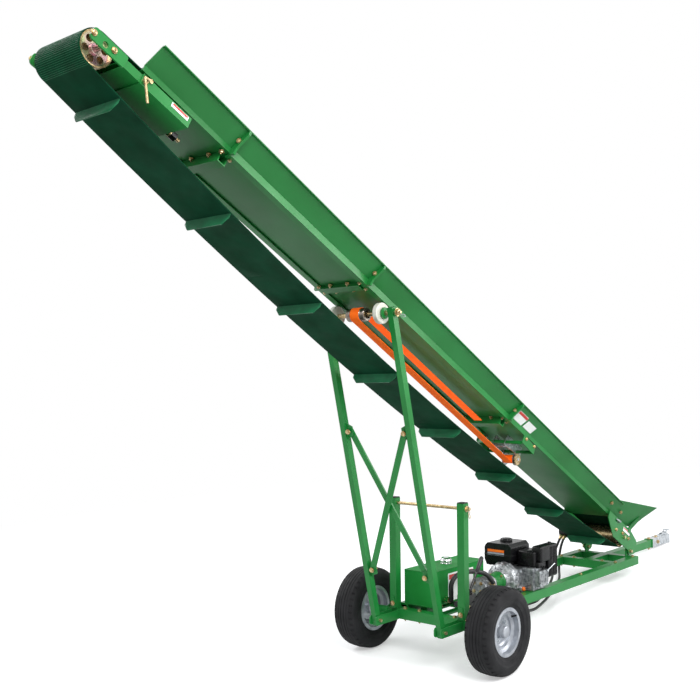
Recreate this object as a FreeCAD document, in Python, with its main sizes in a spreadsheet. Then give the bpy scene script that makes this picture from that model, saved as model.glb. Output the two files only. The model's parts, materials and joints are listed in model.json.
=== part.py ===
"""Firewood conveyor: a belt trough on a two-wheeled trailer with a rolling lift mast.

The machine is laid out level, with x forward to the hitch, y to the left and z up from the
ground below the wheel axle. Boom pieces are laid out along the trough: x up the trough from
its pivot, z square to the deck. Mast pieces stand on their foot pins. The last step parks the
trailer on its coupler and puts the origin under the middle of the whole machine.
"""
import math
import os

import FreeCAD, Part
import Sketcher
from FreeCAD import Placement, Rotation, Vector

doc = FreeCAD.newDocument("FirewoodConveyor")
sheet = doc.addObject("Spreadsheet::Sheet", "Sizes")

DRIVING_SIZES = {
    # ground wheels
    "tyre_diameter": 416, "tyre_width": 136, "tyre_bead_diameter": 206, "rim_flange_diameter": 229,
    "rim_width": 104, "rim_wall": 4, "wheel_track": 790, "hub_diameter": 64, "hub_length": 96,
    "hub_flange_diameter": 130, "wheel_bolt_circle": 100, "spindle_diameter": 30,
    # trailer frame
    "beam_size": 50, "beam_length": 490, "tube_wall": 4, "rail_size": 50, "rail_spread": 368,
    "rail_front": 1980, "rail_bottom": 198, "mid_member_from_pivot": 275, "tongue_reach": 2690,
    "post_size": 40, "post_spread": 412, "post_top": 791, "post_setback": 14,
    "cradle_pin_diameter": 16, "cradle_pin_drop": 25,
    # boom pivot and mast foot
    "pivot_reach": 1975, "pivot_height": 275, "pivot_pin_diameter": 20, "upright_spread": 280,
    "upright_thickness": 8, "upright_width": 60,
    "foot_setback": 177, "foot_height": 204, "foot_pin_diameter": 16,
    # boom attitude and trough section
    "boom_angle": 28.4, "deck_level": 104, "sheet_thickness": 4, "trough_floor_width": 280,
    "strip_height": 22, "flare_width": 60, "flare_height": 62, "lip_width": 12,
    "trough_start": 330, "joint_lower": 1703, "joint_middle": 3016, "joint_upper": 3909,
    "trough_end": 4355, "track_height": 30, "track_flange": 32, "track_start": 1480,
    # belt and drums
    "belt_width": 260, "belt_thickness": 4, "drum_diameter": 124, "head_drum_reach": 4523,
    "tail_drum_reach": 130, "belt_sag": 114, "cleat_pitch": 580, "cleat_height": 45,
    "take_up_width": 356, "sleeve_length": 230, "sleeve_depth": 40, "end_plate_thickness": 8,
    # lift mast
    "mast_reach": 2864, "roller_diameter": 96, "roller_width": 26, "roller_spread": 260,
    "leg_depth": 34, "leg_width": 28, "leg_spread": 388, "roller_shaft_diameter": 22,
    "strap_pulley_diameter": 60, "strap_width": 48,
    # power pack and hoses
    "bed_level": 186, "tank_length": 475, "tank_width": 168, "tank_height": 177,
    "crank_height": 98, "shaft_offset": 52, "pump_diameter": 90, "pump_length": 112,
    "hose_diameter": 16, "suction_hose_diameter": 24, "motor_diameter": 84, "motor_length": 120,
    # coupler
    "ball_diameter": 50, "coupler_length": 260, "coupler_width": 64,
    # running clearances
    "pin_clearance": 0.3, "seat_clearance": 0.3,
}
for row, (alias, number) in enumerate(DRIVING_SIZES.items(), start=1):
    sheet.set(f"A{row}", alias)
    sheet.set(f"B{row}", str(number))
    sheet.setAlias(f"B{row}", alias)
doc.recompute()


class Size:
    """A length or angle from the sheet, kept both as a number and as a FreeCAD expression."""

    def __init__(self, number, text):
        self.number = float(number)
        self.text = text

    def __add__(self, other):
        other = size(other)
        return Size(self.number + other.number, f"({self.text} + {other.text})")

    def __sub__(self, other):
        other = size(other)
        return Size(self.number - other.number, f"({self.text} - {other.text})")

    def __mul__(self, factor):
        return Size(self.number * factor, f"({self.text} * {factor!r})")

    def __truediv__(self, factor):
        return Size(self.number / factor, f"({self.text} / {factor!r})")

    def __neg__(self):
        return self * -1.0

    __radd__ = __add__
    __rmul__ = __mul__

    def __rsub__(self, other):
        return size(other) - self


def size(value):
    """A plain number or a Size, as a Size."""
    return value if isinstance(value, Size) else Size(value, repr(float(value)))


class Sheet:
    """Reads the sheet by alias, so S.rail_size is the sheet's rail_size."""

    def __getattr__(self, alias):
        return Size(sheet.get(alias), f"Sizes.{alias}")


S = Sheet()
nodes = []
X, Y, Z = Vector(1, 0, 0), Vector(0, 1, 0), Vector(0, 0, 1)


def register(obj, name, placement=None):
    """Names a finished sub-part and lists it for placing, checking and export."""
    obj.Label = name
    obj.Placement = placement or Placement()
    nodes.append(obj)
    return obj


def bind(obj, **sizes):
    for prop, value in sizes.items():
        obj.setExpression(prop, size(value).text)


# ---------------------------------------------------------------- modelling helpers
PLANES = {"XY": "XY_Plane", "XZ": "XZ_Plane", "YZ": "YZ_Plane"}


def new_body(name):
    return doc.addObject("PartDesign::Body", name + "_body")


def new_sketch(body, plane):
    """A sketch flat on one of the body's own origin planes."""
    sketch = body.newObject("Sketcher::SketchObject", body.Name + "_sketch")
    face = [f for f in body.Origin.OriginFeatures if f.Role == PLANES[plane]][0]
    sketch.AttachmentSupport = [(face, "")]
    sketch.MapMode = "FlatFace"
    return sketch


def pin_point(sketch, edge, end, x, y):
    """Dimensions one point of a sketch from its origin, with both sizes bound."""
    for kind, value in (("DistanceX", size(x)), ("DistanceY", size(y))):
        if abs(value.number) < 1e-9:
            axis = -2 if kind == "DistanceX" else -1
            sketch.addConstraint(Sketcher.Constraint("PointOnObject", edge, end, axis))
        elif value.number > 0:
            index = sketch.addConstraint(
                Sketcher.Constraint(kind, -1, 1, edge, end, value.number))
            sketch.setExpression(f"Constraints[{index}]", value.text)
        else:
            index = sketch.addConstraint(
                Sketcher.Constraint(kind, edge, end, -1, 1, -value.number))
            sketch.setExpression(f"Constraints[{index}]", (-value).text)


def add_polygon(sketch, points):
    """A closed outline through points whose coordinates are Sizes or numbers."""
    first = sketch.GeometryCount
    spots = [Vector(size(x).number, size(y).number, 0) for x, y in points]
    count = len(spots)
    for i in range(count):
        sketch.addGeometry(Part.LineSegment(spots[i], spots[(i + 1) % count]), False)
    for i in range(count):
        following = first + (i + 1) % count
        sketch.addConstraint(Sketcher.Constraint("Coincident", first + i, 2, following, 1))
    for i, (x, y) in enumerate(points):
        pin_point(sketch, first + i, 1, x, y)


def add_rectangle(sketch, width, height, x=0, y=0):
    """A rectangle of a given size centred on (x, y)."""
    half_w, half_h = size(width) / 2, size(height) / 2
    x, y = size(x), size(y)
    add_polygon(sketch, [(x - half_w, y - half_h), (x + half_w, y - half_h),
                         (x + half_w, y + half_h), (x - half_w, y + half_h)])


def add_circle(sketch, diameter, x=0, y=0):
    x, y, radius = size(x), size(y), size(diameter) / 2
    circle = Part.Circle(Vector(x.number, y.number, 0), Vector(0, 0, 1), radius.number)
    index = sketch.addGeometry(circle, False)
    pin_point(sketch, index, 3, x, y)
    datum = sketch.addConstraint(Sketcher.Constraint("Radius", index, radius.number))
    sketch.setExpression(f"Constraints[{datum}]", radius.text)


def pad(body, sketch, length, symmetric=False, reverse=False):
    feature = body.newObject("PartDesign::Pad", body.Name + "_pad")
    feature.Profile = sketch
    feature.Midplane = symmetric
    feature.Reversed = reverse
    bind(feature, Length=length)
    return feature


def pocket_through(body, sketch):
    """Cuts a sketch right through the solid, both ways."""
    feature = body.newObject("PartDesign::Pocket", body.Name + "_pocket")
    feature.Profile = sketch
    feature.Type = "ThroughAll"
    feature.Midplane = True
    return feature


def revolve(body, sketch, axis="V_Axis"):
    feature = body.newObject("PartDesign::Revolution", body.Name + "_revolution")
    feature.Profile = sketch
    feature.ReferenceAxis = (sketch, [axis])
    feature.Angle = 360
    return feature


def prism(name, plane, points, length, symmetric=True, reverse=False):
    """A body made by padding one outline."""
    body = new_body(name)
    sketch = new_sketch(body, plane)
    add_polygon(sketch, points)
    pad(body, sketch, length, symmetric, reverse)
    return body


PROFILE_AXES = {"XY": (0, 1), "XZ": (0, 2), "YZ": (1, 2)}


def round_corners(body, plane, corners):
    """Rounds the edges of a padded outline that stand on given corners, each (x, y, radius)."""
    doc.recompute()
    across, up = PROFILE_AXES[plane]
    for x, y, radius in corners:
        x, y = size(x).number, size(y).number
        base = body.Tip
        edges = []
        for index, edge in enumerate(base.Shape.Edges, start=1):
            if all(abs(v.Point[across] - x) < 0.01 and abs(v.Point[up] - y) < 0.01
                   for v in edge.Vertexes):
                edges.append(f"Edge{index}")
        fillet = body.newObject("PartDesign::Fillet", body.Name + "_fillet")
        fillet.Base = (base, edges)
        bind(fillet, Radius=radius)
        doc.recompute()


def link_bar(name, centres, width, thickness):
    """A flat bar with round ends and no holes, from one bolt centre to the other along X."""
    body = new_body(name)
    sketch = new_sketch(body, "XY")
    half = size(width) / 2
    reach = size(centres)
    radius, length = half.number, reach.number
    sketch.addGeometry(Part.LineSegment(Vector(0, -radius, 0), Vector(length, -radius, 0)), False)
    sketch.addGeometry(Part.ArcOfCircle(Part.Circle(Vector(length, 0, 0), Z, radius),
                                        -math.pi / 2, math.pi / 2), False)
    sketch.addGeometry(Part.LineSegment(Vector(length, radius, 0), Vector(0, radius, 0)), False)
    sketch.addGeometry(Part.ArcOfCircle(Part.Circle(Vector(0, 0, 0), Z, radius),
                                        math.pi / 2, math.pi * 1.5), False)
    for edge, end, following, start in ((0, 2, 1, 1), (1, 2, 2, 1), (2, 2, 3, 1), (3, 2, 0, 1)):
        sketch.addConstraint(Sketcher.Constraint("Tangent", edge, end, following, start))
    pin_point(sketch, 3, 3, 0, 0)
    pin_point(sketch, 1, 3, reach, 0)
    datum = sketch.addConstraint(Sketcher.Constraint("Radius", 3, radius))
    sketch.setExpression(f"Constraints[{datum}]", half.text)
    pad(body, sketch, thickness)
    return body


def square_tube(name, plane, outer, wall, length, symmetric=False, reverse=False):
    """Square box section, extruded from its own mid line."""
    body = new_body(name)
    sketch = new_sketch(body, plane)
    add_rectangle(sketch, outer, outer)
    add_rectangle(sketch, outer - wall * 2, outer - wall * 2)
    pad(body, sketch, length, symmetric, reverse)
    return body


def cylinder(name, diameter, length, placement):
    """A plain round bar; its axis is z before it is placed."""
    bar = doc.addObject("Part::Cylinder", name)
    bind(bar, Radius=size(diameter) / 2, Height=length)
    bar.Placement = placement
    return bar


def block(name, length, width, height, placement):
    brick = doc.addObject("Part::Box", name)
    bind(brick, Length=length, Width=width, Height=height)
    brick.Placement = placement
    return brick


def fuse(name, shapes):
    """Welds shapes into one sub-part."""
    joined = doc.addObject("Part::MultiFuse", name)
    joined.Shapes = shapes
    joined.Refine = True
    return joined


def group(name, shapes):
    """Like pieces that don't touch, kept as separate solids of one sub-part."""
    bundle = doc.addObject("Part::Compound", name)
    bundle.Links = shapes
    return bundle


def cut(name, base, tool):
    result = doc.addObject("Part::Cut", name)
    result.Base = base
    result.Tool = tool
    return result


def at(x=0, y=0, z=0, axis=None, angle=0):
    """A Placement from Sizes or numbers, turned about an axis."""
    spot = Vector(size(x).number, size(y).number, size(z).number)
    return Placement(spot, Rotation(axis or Vector(0, 0, 1), angle))


ALONG_Y = Rotation(X, -90)
ALONG_X = Rotation(Y, 90)
SIDES = {"left": 1, "right": -1}

# ---------------------------------------------------------------- frames of the three assemblies
axle_height = S.tyre_diameter / 2
boom_frame = Placement(Vector(S.pivot_reach.number, 0, S.pivot_height.number),
                       Rotation(Y, S.boom_angle.number) * Rotation(Z, 180))
roller_level = S.deck_level - S.roller_diameter / 2 - 8
roller_spot = boom_frame.multVec(Vector(S.mast_reach.number, 0, roller_level.number))
foot_spot = Vector(-S.foot_setback.number, 0, S.foot_height.number)
mast_vector = roller_spot - foot_spot
mast_length = mast_vector.Length
mast_lean = math.degrees(math.atan2(-mast_vector.x, mast_vector.z))
mast_frame = Placement(foot_spot, Rotation(Y, -mast_lean))


# ---------------------------------------------------------------- ground wheels
def make_tyre(name, placement):
    """Ribbed implement tyre: crowned tread, rounded shoulders, beads on the rim."""
    half = S.tyre_width / 2
    outer = S.tyre_diameter / 2
    bead = S.tyre_bead_diameter / 2
    seat = S.rim_width / 2 - S.rim_wall - 1
    body = new_body(name)
    sketch = new_sketch(body, "XY")
    add_polygon(sketch, [
        (bead, -seat), (bead + 14, -seat), (bead + 44, -half + 2), (outer - 52, -half),
        (outer - 24, -half + 4), (outer - 9, -half + 18), (outer, -half + 36),
        (outer, half - 36), (outer - 9, half - 18), (outer - 24, half - 4),
        (outer - 52, half), (bead + 44, half - 2), (bead + 14, seat), (bead, seat)])
    revolve(body, sketch)
    return register(body, name, placement)


def make_rim(name, placement):
    """Pressed steel rim: a drop-centre barrel and a dished centre disc with stud holes."""
    flange = S.rim_flange_diameter / 2
    bead = S.tyre_bead_diameter / 2 - S.seat_clearance
    half = S.rim_width / 2
    wall = S.rim_wall
    well = bead - 16
    body = new_body(name)
    barrel = new_sketch(body, "XY")
    add_polygon(barrel, [
        (bead - wall, -half), (flange, -half), (flange, -half + wall), (bead, -half + wall),
        (bead, -24), (well, -16), (well, 16), (bead, 24), (bead, half - wall),
        (flange, half - wall), (flange, half), (bead - wall, half), (bead - wall, 26.5),
        (well - wall, 18.5), (well - wall, -18.5), (bead - wall, -26.5)])
    revolve(body, barrel)
    disc = new_sketch(body, "XY")
    hub_hole = S.hub_diameter / 2 + 0.5
    dish = S.wheel_bolt_circle / 2 + 12
    add_polygon(disc, [
        (hub_hole, 6), (dish, 6), (dish + 8, 12), (well - wall, 12), (well - wall, 8),
        (dish + 10, 8), (dish + 2, 0), (hub_hole, 0)])
    revolve(body, disc)
    studs = new_sketch(body, "XZ")
    for quarter in range(4):
        turn = math.radians(45 + 90 * quarter)
        add_circle(studs, 13, S.wheel_bolt_circle * (math.cos(turn) / 2),
                   S.wheel_bolt_circle * (math.sin(turn) / 2))
    pocket_through(body, studs)
    return register(body, name, placement)


def make_hub(name, placement):
    """Cast hub on the spindle, with its stud flange behind the rim disc and a dust cap."""
    bore = S.spindle_diameter / 2 + S.pin_clearance / 10
    flange = S.hub_flange_diameter / 2
    barrel = S.hub_diameter / 2
    body = new_body(name)
    sketch = new_sketch(body, "XY")
    inner = -S.hub_length / 2 + 6
    add_polygon(sketch, [
        (bore, inner), (barrel - 4, inner), (barrel, inner + 6), (barrel, -9), (flange, -9),
        (flange, -0.2), (barrel, -0.2), (barrel, 24), (barrel - 5, 44), (0, 46), (0, 40),
        (bore, 40)])
    revolve(body, sketch)
    return register(body, name, placement)


half_track = S.wheel_track / 2
for side, sign in SIDES.items():
    spot = at(0, half_track * sign, axle_height, Z, 0 if sign > 0 else 180)
    make_tyre(f"tyre_{side}", spot)
    make_rim(f"rim_{side}", spot)
    make_hub(f"hub_{side}", spot)

# ---------------------------------------------------------------- axle and trailer frame
beam = square_tube("axle_beam", "XZ", S.beam_size, S.tube_wall, S.beam_length, symmetric=True)
register(beam, "axle_beam", at(0, 0, axle_height))

stubs = []
for side, sign in SIDES.items():
    stub = new_body(f"stub_{side}")
    sketch = new_sketch(stub, "XY")
    shoulder = half_track - S.beam_length / 2 - S.hub_length / 2
    tip = half_track - S.beam_length / 2 + 34
    add_polygon(sketch, [
        (0, 0), (S.beam_size / 2 + 8, 0), (S.beam_size / 2 + 8, 8), (22, 8),
        (20, shoulder), (S.spindle_diameter / 2, shoulder + 4), (S.spindle_diameter / 2, tip), (0, tip)])
    revolve(stub, sketch)
    stub.Placement = at(0, S.beam_length * (sign / 2), axle_height, Z, 0 if sign > 0 else 180)
    stubs.append(stub)
register(group("stub_axles", stubs), "stub_axles")

rail_centre = S.rail_bottom + S.rail_size / 2
rails = []
for side, sign in SIDES.items():
    rail = square_tube(f"rail_{side}", "YZ", S.rail_size, S.tube_wall,
                       S.rail_front - S.beam_size / 2)
    rail.Placement = at(S.beam_size / 2, S.rail_spread * (sign / 2), rail_centre)
    rails.append(rail)
register(group("frame_rails", rails), "frame_rails")

member_length = S.rail_spread - S.rail_size
mid_member_x = S.pivot_reach - S.mid_member_from_pivot
front_member_x = S.rail_front - S.rail_size / 2
mid_member = square_tube("mid_member", "XZ", S.rail_size, S.tube_wall, member_length, symmetric=True)
mid_member.Placement = at(mid_member_x, 0, rail_centre)
members = [mid_member]
half_member = (member_length - S.rail_size) / 2
for side, sign in SIDES.items():
    member = square_tube(f"front_member_{side}", "XZ", S.rail_size, S.tube_wall, half_member,
                         symmetric=True)
    member.Placement = at(front_member_x, (S.rail_size / 2 + half_member / 2) * sign, rail_centre)
    members.append(member)
register(group("crossmembers", members), "crossmembers")

tongue_start = mid_member_x + S.rail_size / 2
tongue = square_tube("tongue", "YZ", S.rail_size, S.tube_wall, S.tongue_reach - tongue_start)
register(tongue, "tongue", at(tongue_start, 0, rail_centre))


coupler_ball_x = S.coupler_length - S.coupler_width / 2 - 6
coupler_depth = 29


def make_coupler():
    """Pressed ball coupler: a sleeve over the tongue and a domed cup for the ball."""
    ball_x = coupler_ball_x
    width = S.coupler_width
    sleeve = block("coupler_sleeve", 110, S.rail_size + 8, S.rail_size + 8,
                   at(-55, -(S.rail_size / 2 + 4), -(S.rail_size / 2 + 4)))
    bore = block("coupler_sleeve_bore", 160, S.rail_size + 0.4, S.rail_size + 0.4,
                 at(-160, -(S.rail_size / 2 + 0.2), -(S.rail_size / 2 + 0.2)))
    nose = prism("coupler_nose", "XY", [
        (54, -29), (ball_x - 14, -29), (ball_x + 14, -26), (ball_x + 32, -12), (ball_x + 32, 12),
        (ball_x + 14, 26), (ball_x - 14, 29), (54, 29)], 58, symmetric=True)
    cup = doc.addObject("Part::Cylinder", "coupler_cup")
    bind(cup, Radius=width / 2 + 2, Height=56)
    cup.Placement = at(ball_x, 0, -coupler_depth)
    dome = doc.addObject("Part::Sphere", "coupler_dome")
    bind(dome, Radius=width / 2 + 2)
    dome.Placement = at(ball_x, 0, 8)
    body = fuse("coupler_solid", [sleeve, nose, cup, dome])
    ball = doc.addObject("Part::Sphere", "coupler_ball_space")
    bind(ball, Radius=S.ball_diameter / 2 + 0.4)
    ball.Placement = at(ball_x, 0, -6)
    mouth = cylinder("coupler_mouth", S.ball_diameter + 0.8, 60, at(ball_x, 0, -66))
    under = block("coupler_under", ball_x - 96, 44, 40, at(64, -22, -34))
    hollow = fuse("coupler_hollow", [bore, ball, mouth, under])
    return cut("hitch_coupler", body, hollow)


register(make_coupler(), "hitch_coupler", at(S.tongue_reach, 0, rail_centre))

# ---------------------------------------------------------------- posts, mast feet, boom uprights
post_foot = axle_height + S.beam_size / 2
post_height = S.post_top - post_foot
pin_level = S.post_top - S.cradle_pin_drop
posts = []
for side, sign in SIDES.items():
    post = square_tube(f"post_{side}", "XY", S.post_size, S.tube_wall, post_height)
    hole = new_sketch(post, "XZ")
    add_circle(hole, S.cradle_pin_diameter + S.pin_clearance * 2, 0, post_height - S.cradle_pin_drop)
    pocket_through(post, hole)
    post.Placement = at(-0.5 * S.post_setback, S.post_spread * (sign / 2), post_foot)
    posts.append(post)
register(group("cradle_posts", posts), "cradle_posts")
pin_length = S.post_spread + S.post_size + 44
cradle_pin = cylinder("cradle_pin", S.cradle_pin_diameter, pin_length,
                      Placement(Vector(0, 0, 0), ALONG_Y))
register(cradle_pin, "cradle_pin",
         Placement(Vector((-0.5 * S.post_setback).number, -pin_length.number / 2, pin_level.number),
                   ALONG_Y))

foot_gap = 2.5
cheek = 5
cheek_rear = S.foot_setback + 30
cheek_front = S.beam_size / 2
cheek_half = 23
leg_centre = S.leg_spread / 2
feet, foot_pins = [], []
for side, sign in SIDES.items():
    cheeks = []
    for edge in (-1, 1):
        plate = prism(f"mast_cheek_{side}_{edge + 1}", "XZ", [
            (-cheek_rear, -cheek_half), (-cheek_front, -cheek_half),
            (-cheek_front, cheek_half), (-cheek_rear, cheek_half)], cheek)
        round_corners(plate, "XZ", [(-cheek_rear, -cheek_half, 14), (-cheek_rear, cheek_half, 14)])
        hole = new_sketch(plate, "XZ")
        add_circle(hole, S.foot_pin_diameter + 0.2, -S.foot_setback, 0)
        pocket_through(plate, hole)
        offset = (S.leg_width / 2 + foot_gap + cheek / 2) * edge
        plate.Placement = at(0, leg_centre * sign + offset, S.foot_height)
        cheeks.append(plate)
    inside = S.leg_width + foot_gap * 2
    floor = block(f"mast_foot_floor_{side}", 96, inside + 1, 5,
                  at(-cheek_front - 96, leg_centre * sign - inside / 2 - 0.5, S.foot_height - cheek_half))
    feet.append(fuse(f"mast_foot_{side}", cheeks + [floor]))
    pin_reach = S.leg_width + foot_gap * 2 + cheek * 2 + 20
    foot_pin = cylinder(f"foot_pin_{side}", S.foot_pin_diameter, pin_reach,
                        Placement(Vector(foot_spot.x, (leg_centre * sign - pin_reach / 2).number,
                                         foot_spot.z), ALONG_Y))
    foot_pins.append(foot_pin)
register(group("mast_feet", feet), "mast_feet")
register(group("mast_foot_pins", foot_pins), "mast_foot_pins")

upright_centre = S.upright_spread / 2
rail_top = S.rail_bottom + S.rail_size
uprights, pivot_pins = [], []
tail_plate_thickness = 5
for side, sign in SIDES.items():
    rise = S.pivot_height - rail_top
    half_width = S.upright_width / 2
    upright = prism(f"upright_{side}", "XZ", [
        (-half_width, -rise), (half_width - 12, -rise), (half_width - 12, 14), (half_width - 24, 30),
        (-half_width + 12, 30), (-half_width, 14)], S.upright_thickness)
    hole = new_sketch(upright, "XZ")
    add_circle(hole, S.pivot_pin_diameter + 0.2)
    pocket_through(upright, hole)
    upright.Placement = at(S.pivot_reach, upright_centre * sign, S.pivot_height)
    uprights.append(upright)
    pin_reach = S.upright_thickness + tail_plate_thickness + 34
    inner = (upright_centre - S.upright_thickness / 2 - 12) if sign > 0 else \
        -(upright_centre - S.upright_thickness / 2 - 12) - pin_reach
    pivot_pins.append(cylinder(f"pivot_pin_{side}", S.pivot_pin_diameter, pin_reach,
                               Placement(Vector(S.pivot_reach.number, inner.number,
                                                S.pivot_height.number), ALONG_Y)))
register(group("boom_uprights", uprights), "boom_uprights")
register(group("boom_pivot_pins", pivot_pins), "boom_pivot_pins")

# ---------------------------------------------------------------- power pack on the frame
bed_top = S.bed_level + 22
shaft_level = bed_top + S.crank_height
pump_start = 358


def add_power_pack():
    """Engine bed, petrol engine, pump and oil tank, all bolted between the rails."""
    bed = []
    for reach in (90, 330, 560, 960):
        bed.append(block(f"bed_angle_{reach}", 40, member_length, 12,
                         at(reach, -member_length / 2, S.bed_level)))
    for near in (-120, -20, 80):
        bed.append(block(f"bed_skid_{near}", 940, 40, 10, at(75, near, S.bed_level + 12)))
    for reach in (90, 400):
        bed.append(block(f"tank_stand_{reach}", 60, 40, rail_top - bed_top, at(reach, 80, bed_top)))
    register(fuse("engine_bed", bed), "engine_bed")

    wall = 3
    tank_start, tank_near = 30, 8
    tank = new_body("tank_shell")
    outline = new_sketch(tank, "XZ")
    add_rectangle(outline, S.tank_length, S.tank_height)
    add_rectangle(outline, S.tank_length - wall * 2, S.tank_height - wall * 2)
    pad(tank, outline, S.tank_width, symmetric=True)
    half_tank = S.tank_width / 2
    ends = []
    for edge in (-1, 1):
        end = new_body(f"tank_side_{edge + 1}")
        face = new_sketch(end, "XZ")
        add_rectangle(face, S.tank_length, S.tank_height)
        pad(end, face, wall, symmetric=True)
        end.Placement = at(0, (half_tank - wall / 2) * edge, 0)
        ends.append(end)
    filler = cylinder("tank_filler", 46, 34, at(9, 0, S.tank_height / 2 - 1))
    outlet = cylinder("tank_outlet", 30, 34, Placement(
        Vector((134 - tank_start - S.tank_length / 2).number, (-half_tank - 32).number, -62), ALONG_Y))
    register(fuse("hydraulic_tank", [tank, filler, outlet] + ends), "hydraulic_tank",
             at(tank_start + S.tank_length / 2, tank_near + half_tank, rail_top + S.tank_height / 2))

    crankcase = block("crankcase", 212, 170, 158, at(0, -88, -S.crank_height))
    face_cover = cylinder("face_cover", 168, 18, Placement(Vector(-17, 0, 0), ALONG_X))
    recoil = cylinder("recoil_housing", 190, 66, Placement(Vector(211, 0, 8), ALONG_X))
    barrel = block("cylinder_block", 128, 62, 120, at(46, -144, -56))
    rocker_cover = block("rocker_cover", 96, 34, 84, at(62, -177, -34))
    register(fuse("engine", [crankcase, face_cover, recoil, barrel, rocker_cover]), "engine",
             at(622, -S.shaft_offset, shaft_level))
    fuel_tank = prism("fuel_tank", "YZ", [
        (-84, 30), (-60, 0), (70, 0), (84, 30), (84, 100), (66, 120), (-66, 120), (-84, 100)], 192)
    round_corners(fuel_tank, "YZ", [(-84, 100, 16), (84, 100, 16), (-84, 30, 16), (84, 30, 16)])
    register(fuel_tank, "engine_fuel_tank", at(732, 0, bed_top + 162))
    air_box = prism("air_box", "XZ", [
        (0, 80), (120, 80), (120, 0), (236, 0), (244, 20), (244, 168), (226, 182), (14, 182), (0, 168)],
        62, symmetric=True)
    round_corners(air_box, "XZ", [(0, 168, 10), (244, 168, 10)])
    register(air_box, "air_cleaner", at(700, -192, bed_top + 96))
    muffler = block("muffler", 150, 64, 104, at(672, 88, bed_top + 104))
    register(muffler, "muffler", at(672, 88, bed_top + 104))

    bell = doc.addObject("Part::Cone", "bell_cone")
    bell_length = 604 - pump_start - S.pump_length.number
    bind(bell, Radius1=S.pump_diameter / 2 - 4, Radius2=66, Height=bell_length)
    register(bell, "bell_housing", Placement(Vector((pump_start + S.pump_length).number,
                                                    (-S.shaft_offset).number, shaft_level.number),
                                             ALONG_X))
    pump = cylinder("pump_barrel", S.pump_diameter, S.pump_length, Placement(Vector(), ALONG_X))
    register(pump, "hydraulic_pump",
             Placement(Vector(pump_start, (-S.shaft_offset).number, shaft_level.number), ALONG_X))

    valve = block("valve_block", 84, 56, 70, at(0, -28, 0))
    spool = cylinder("valve_spool", 28, 52, Placement(Vector(-51, 0, 36), ALONG_X))
    lever = cylinder("valve_lever", 13, 214, at(58, 0, 62, Y, 36))
    register(fuse("control_valve", [valve, spool, lever]), "control_valve",
             at(100, -126, bed_top + 40))


add_power_pack()

# ---------------------------------------------------------------- trough on the boom
floor_half = S.trough_floor_width / 2
foot_top = S.deck_level + S.strip_height
lip_level = foot_top + S.flare_height
lip_half = floor_half + S.flare_width
sheet_wall = S.sheet_thickness
slant = sheet_wall * 0.6


def trough_outline():
    """Section of the folded trough: flat floor, short upright feet, flared walls, lips."""
    right = [
        (floor_half, S.deck_level), (floor_half, foot_top), (lip_half, lip_level),
        (lip_half + S.lip_width, lip_level), (lip_half + S.lip_width, lip_level + sheet_wall),
        (lip_half - slant, lip_level + sheet_wall), (floor_half - sheet_wall, foot_top + slant),
        (floor_half - sheet_wall, S.deck_level + sheet_wall)]
    left = [(-y, z) for y, z in reversed(right)]
    return right + left


def make_trough(name, start, end):
    section = prism(name, "YZ", trough_outline(), end - start, symmetric=False)
    return register(section, name, boom_frame * at(start, 0, 0))


joints_gap = S.seat_clearance
make_trough("trough_tail", S.trough_start, S.joint_lower - joints_gap)
make_trough("trough_lower", S.joint_lower, S.joint_middle - joints_gap)
make_trough("trough_upper", S.joint_middle, S.joint_upper - joints_gap)
make_trough("trough_head", S.joint_upper, S.trough_end)

tracks = []
for side, sign in SIDES.items():
    outer = floor_half + sheet_wall
    track = prism(f"track_{side}", "YZ", [
        ((outer) * sign, S.deck_level - 8), ((outer) * sign, S.deck_level - 8 + S.track_height),
        ((floor_half + 0.2) * sign, S.deck_level - 8 + S.track_height),
        ((floor_half + 0.2) * sign, S.deck_level - 4), ((outer - S.track_flange) * sign, S.deck_level - 4),
        ((outer - S.track_flange) * sign, S.deck_level - 8)], S.joint_upper - S.track_start,
        symmetric=False)
    track.Placement = boom_frame * at(S.track_start, 0, 0)
    tracks.append(track)
register(group("roller_tracks", tracks), "roller_tracks")


def make_joint_frame(name, station, depth):
    """Bolted splice: a pair of flanges standing on each wall and a channel under the floor."""
    outer = floor_half + 0.3
    beside_track = floor_half + sheet_wall + 0.3
    stand = 24
    flange = 5
    parts = []
    for side, sign in SIDES.items():
        for face in (-1, 1):
            rib = prism(f"{name}_rib_{side}_{face + 1}", "YZ", [
                (beside_track * sign, S.deck_level - 8), ((outer + stand) * sign, S.deck_level - 8),
                ((outer + stand + 6) * sign, foot_top - 6),
                ((lip_half + S.lip_width) * sign, lip_level - 16),
                ((lip_half + S.lip_width) * sign, lip_level - 0.3),
                ((lip_half + 1.2) * sign, lip_level - 0.3),
                (beside_track * sign, foot_top + 3)], flange)
            rib.Placement = boom_frame * at(station + (flange / 2 + 0.2) * face, 0, 0)
            parts.append(rib)
    half = floor_half + sheet_wall - S.track_flange - 2
    channel = prism(f"{name}_channel", "XZ", [
        (-20, -depth), (20, -depth), (20, -0.3), (16, -0.3), (16, 4 - depth), (-16, 4 - depth),
        (-16, -0.3), (-20, -0.3)], half * 2)
    channel.Placement = boom_frame * at(station, 0, S.deck_level)
    parts.append(channel)
    register(group(name, parts), name)


make_joint_frame("joint_frame_lower", S.joint_lower, 40)
make_joint_frame("joint_frame_middle", S.joint_middle, 18)
make_joint_frame("joint_frame_upper", S.joint_upper, 40)

# ---------------------------------------------------------------- head: take-up and drum
drum_level = S.deck_level + sheet_wall + 0.3 - S.drum_diameter / 2
shaft_diameter = 22
take_up_level = drum_level + 4
sleeve_wall = 4
sleeve_start = S.trough_end - 223
sleeve_end = sleeve_start + S.sleeve_length
slider_half = S.take_up_width / 2 - sleeve_wall - 0.5
slider_depth = S.sleeve_depth - sleeve_wall * 2 - 1


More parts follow.
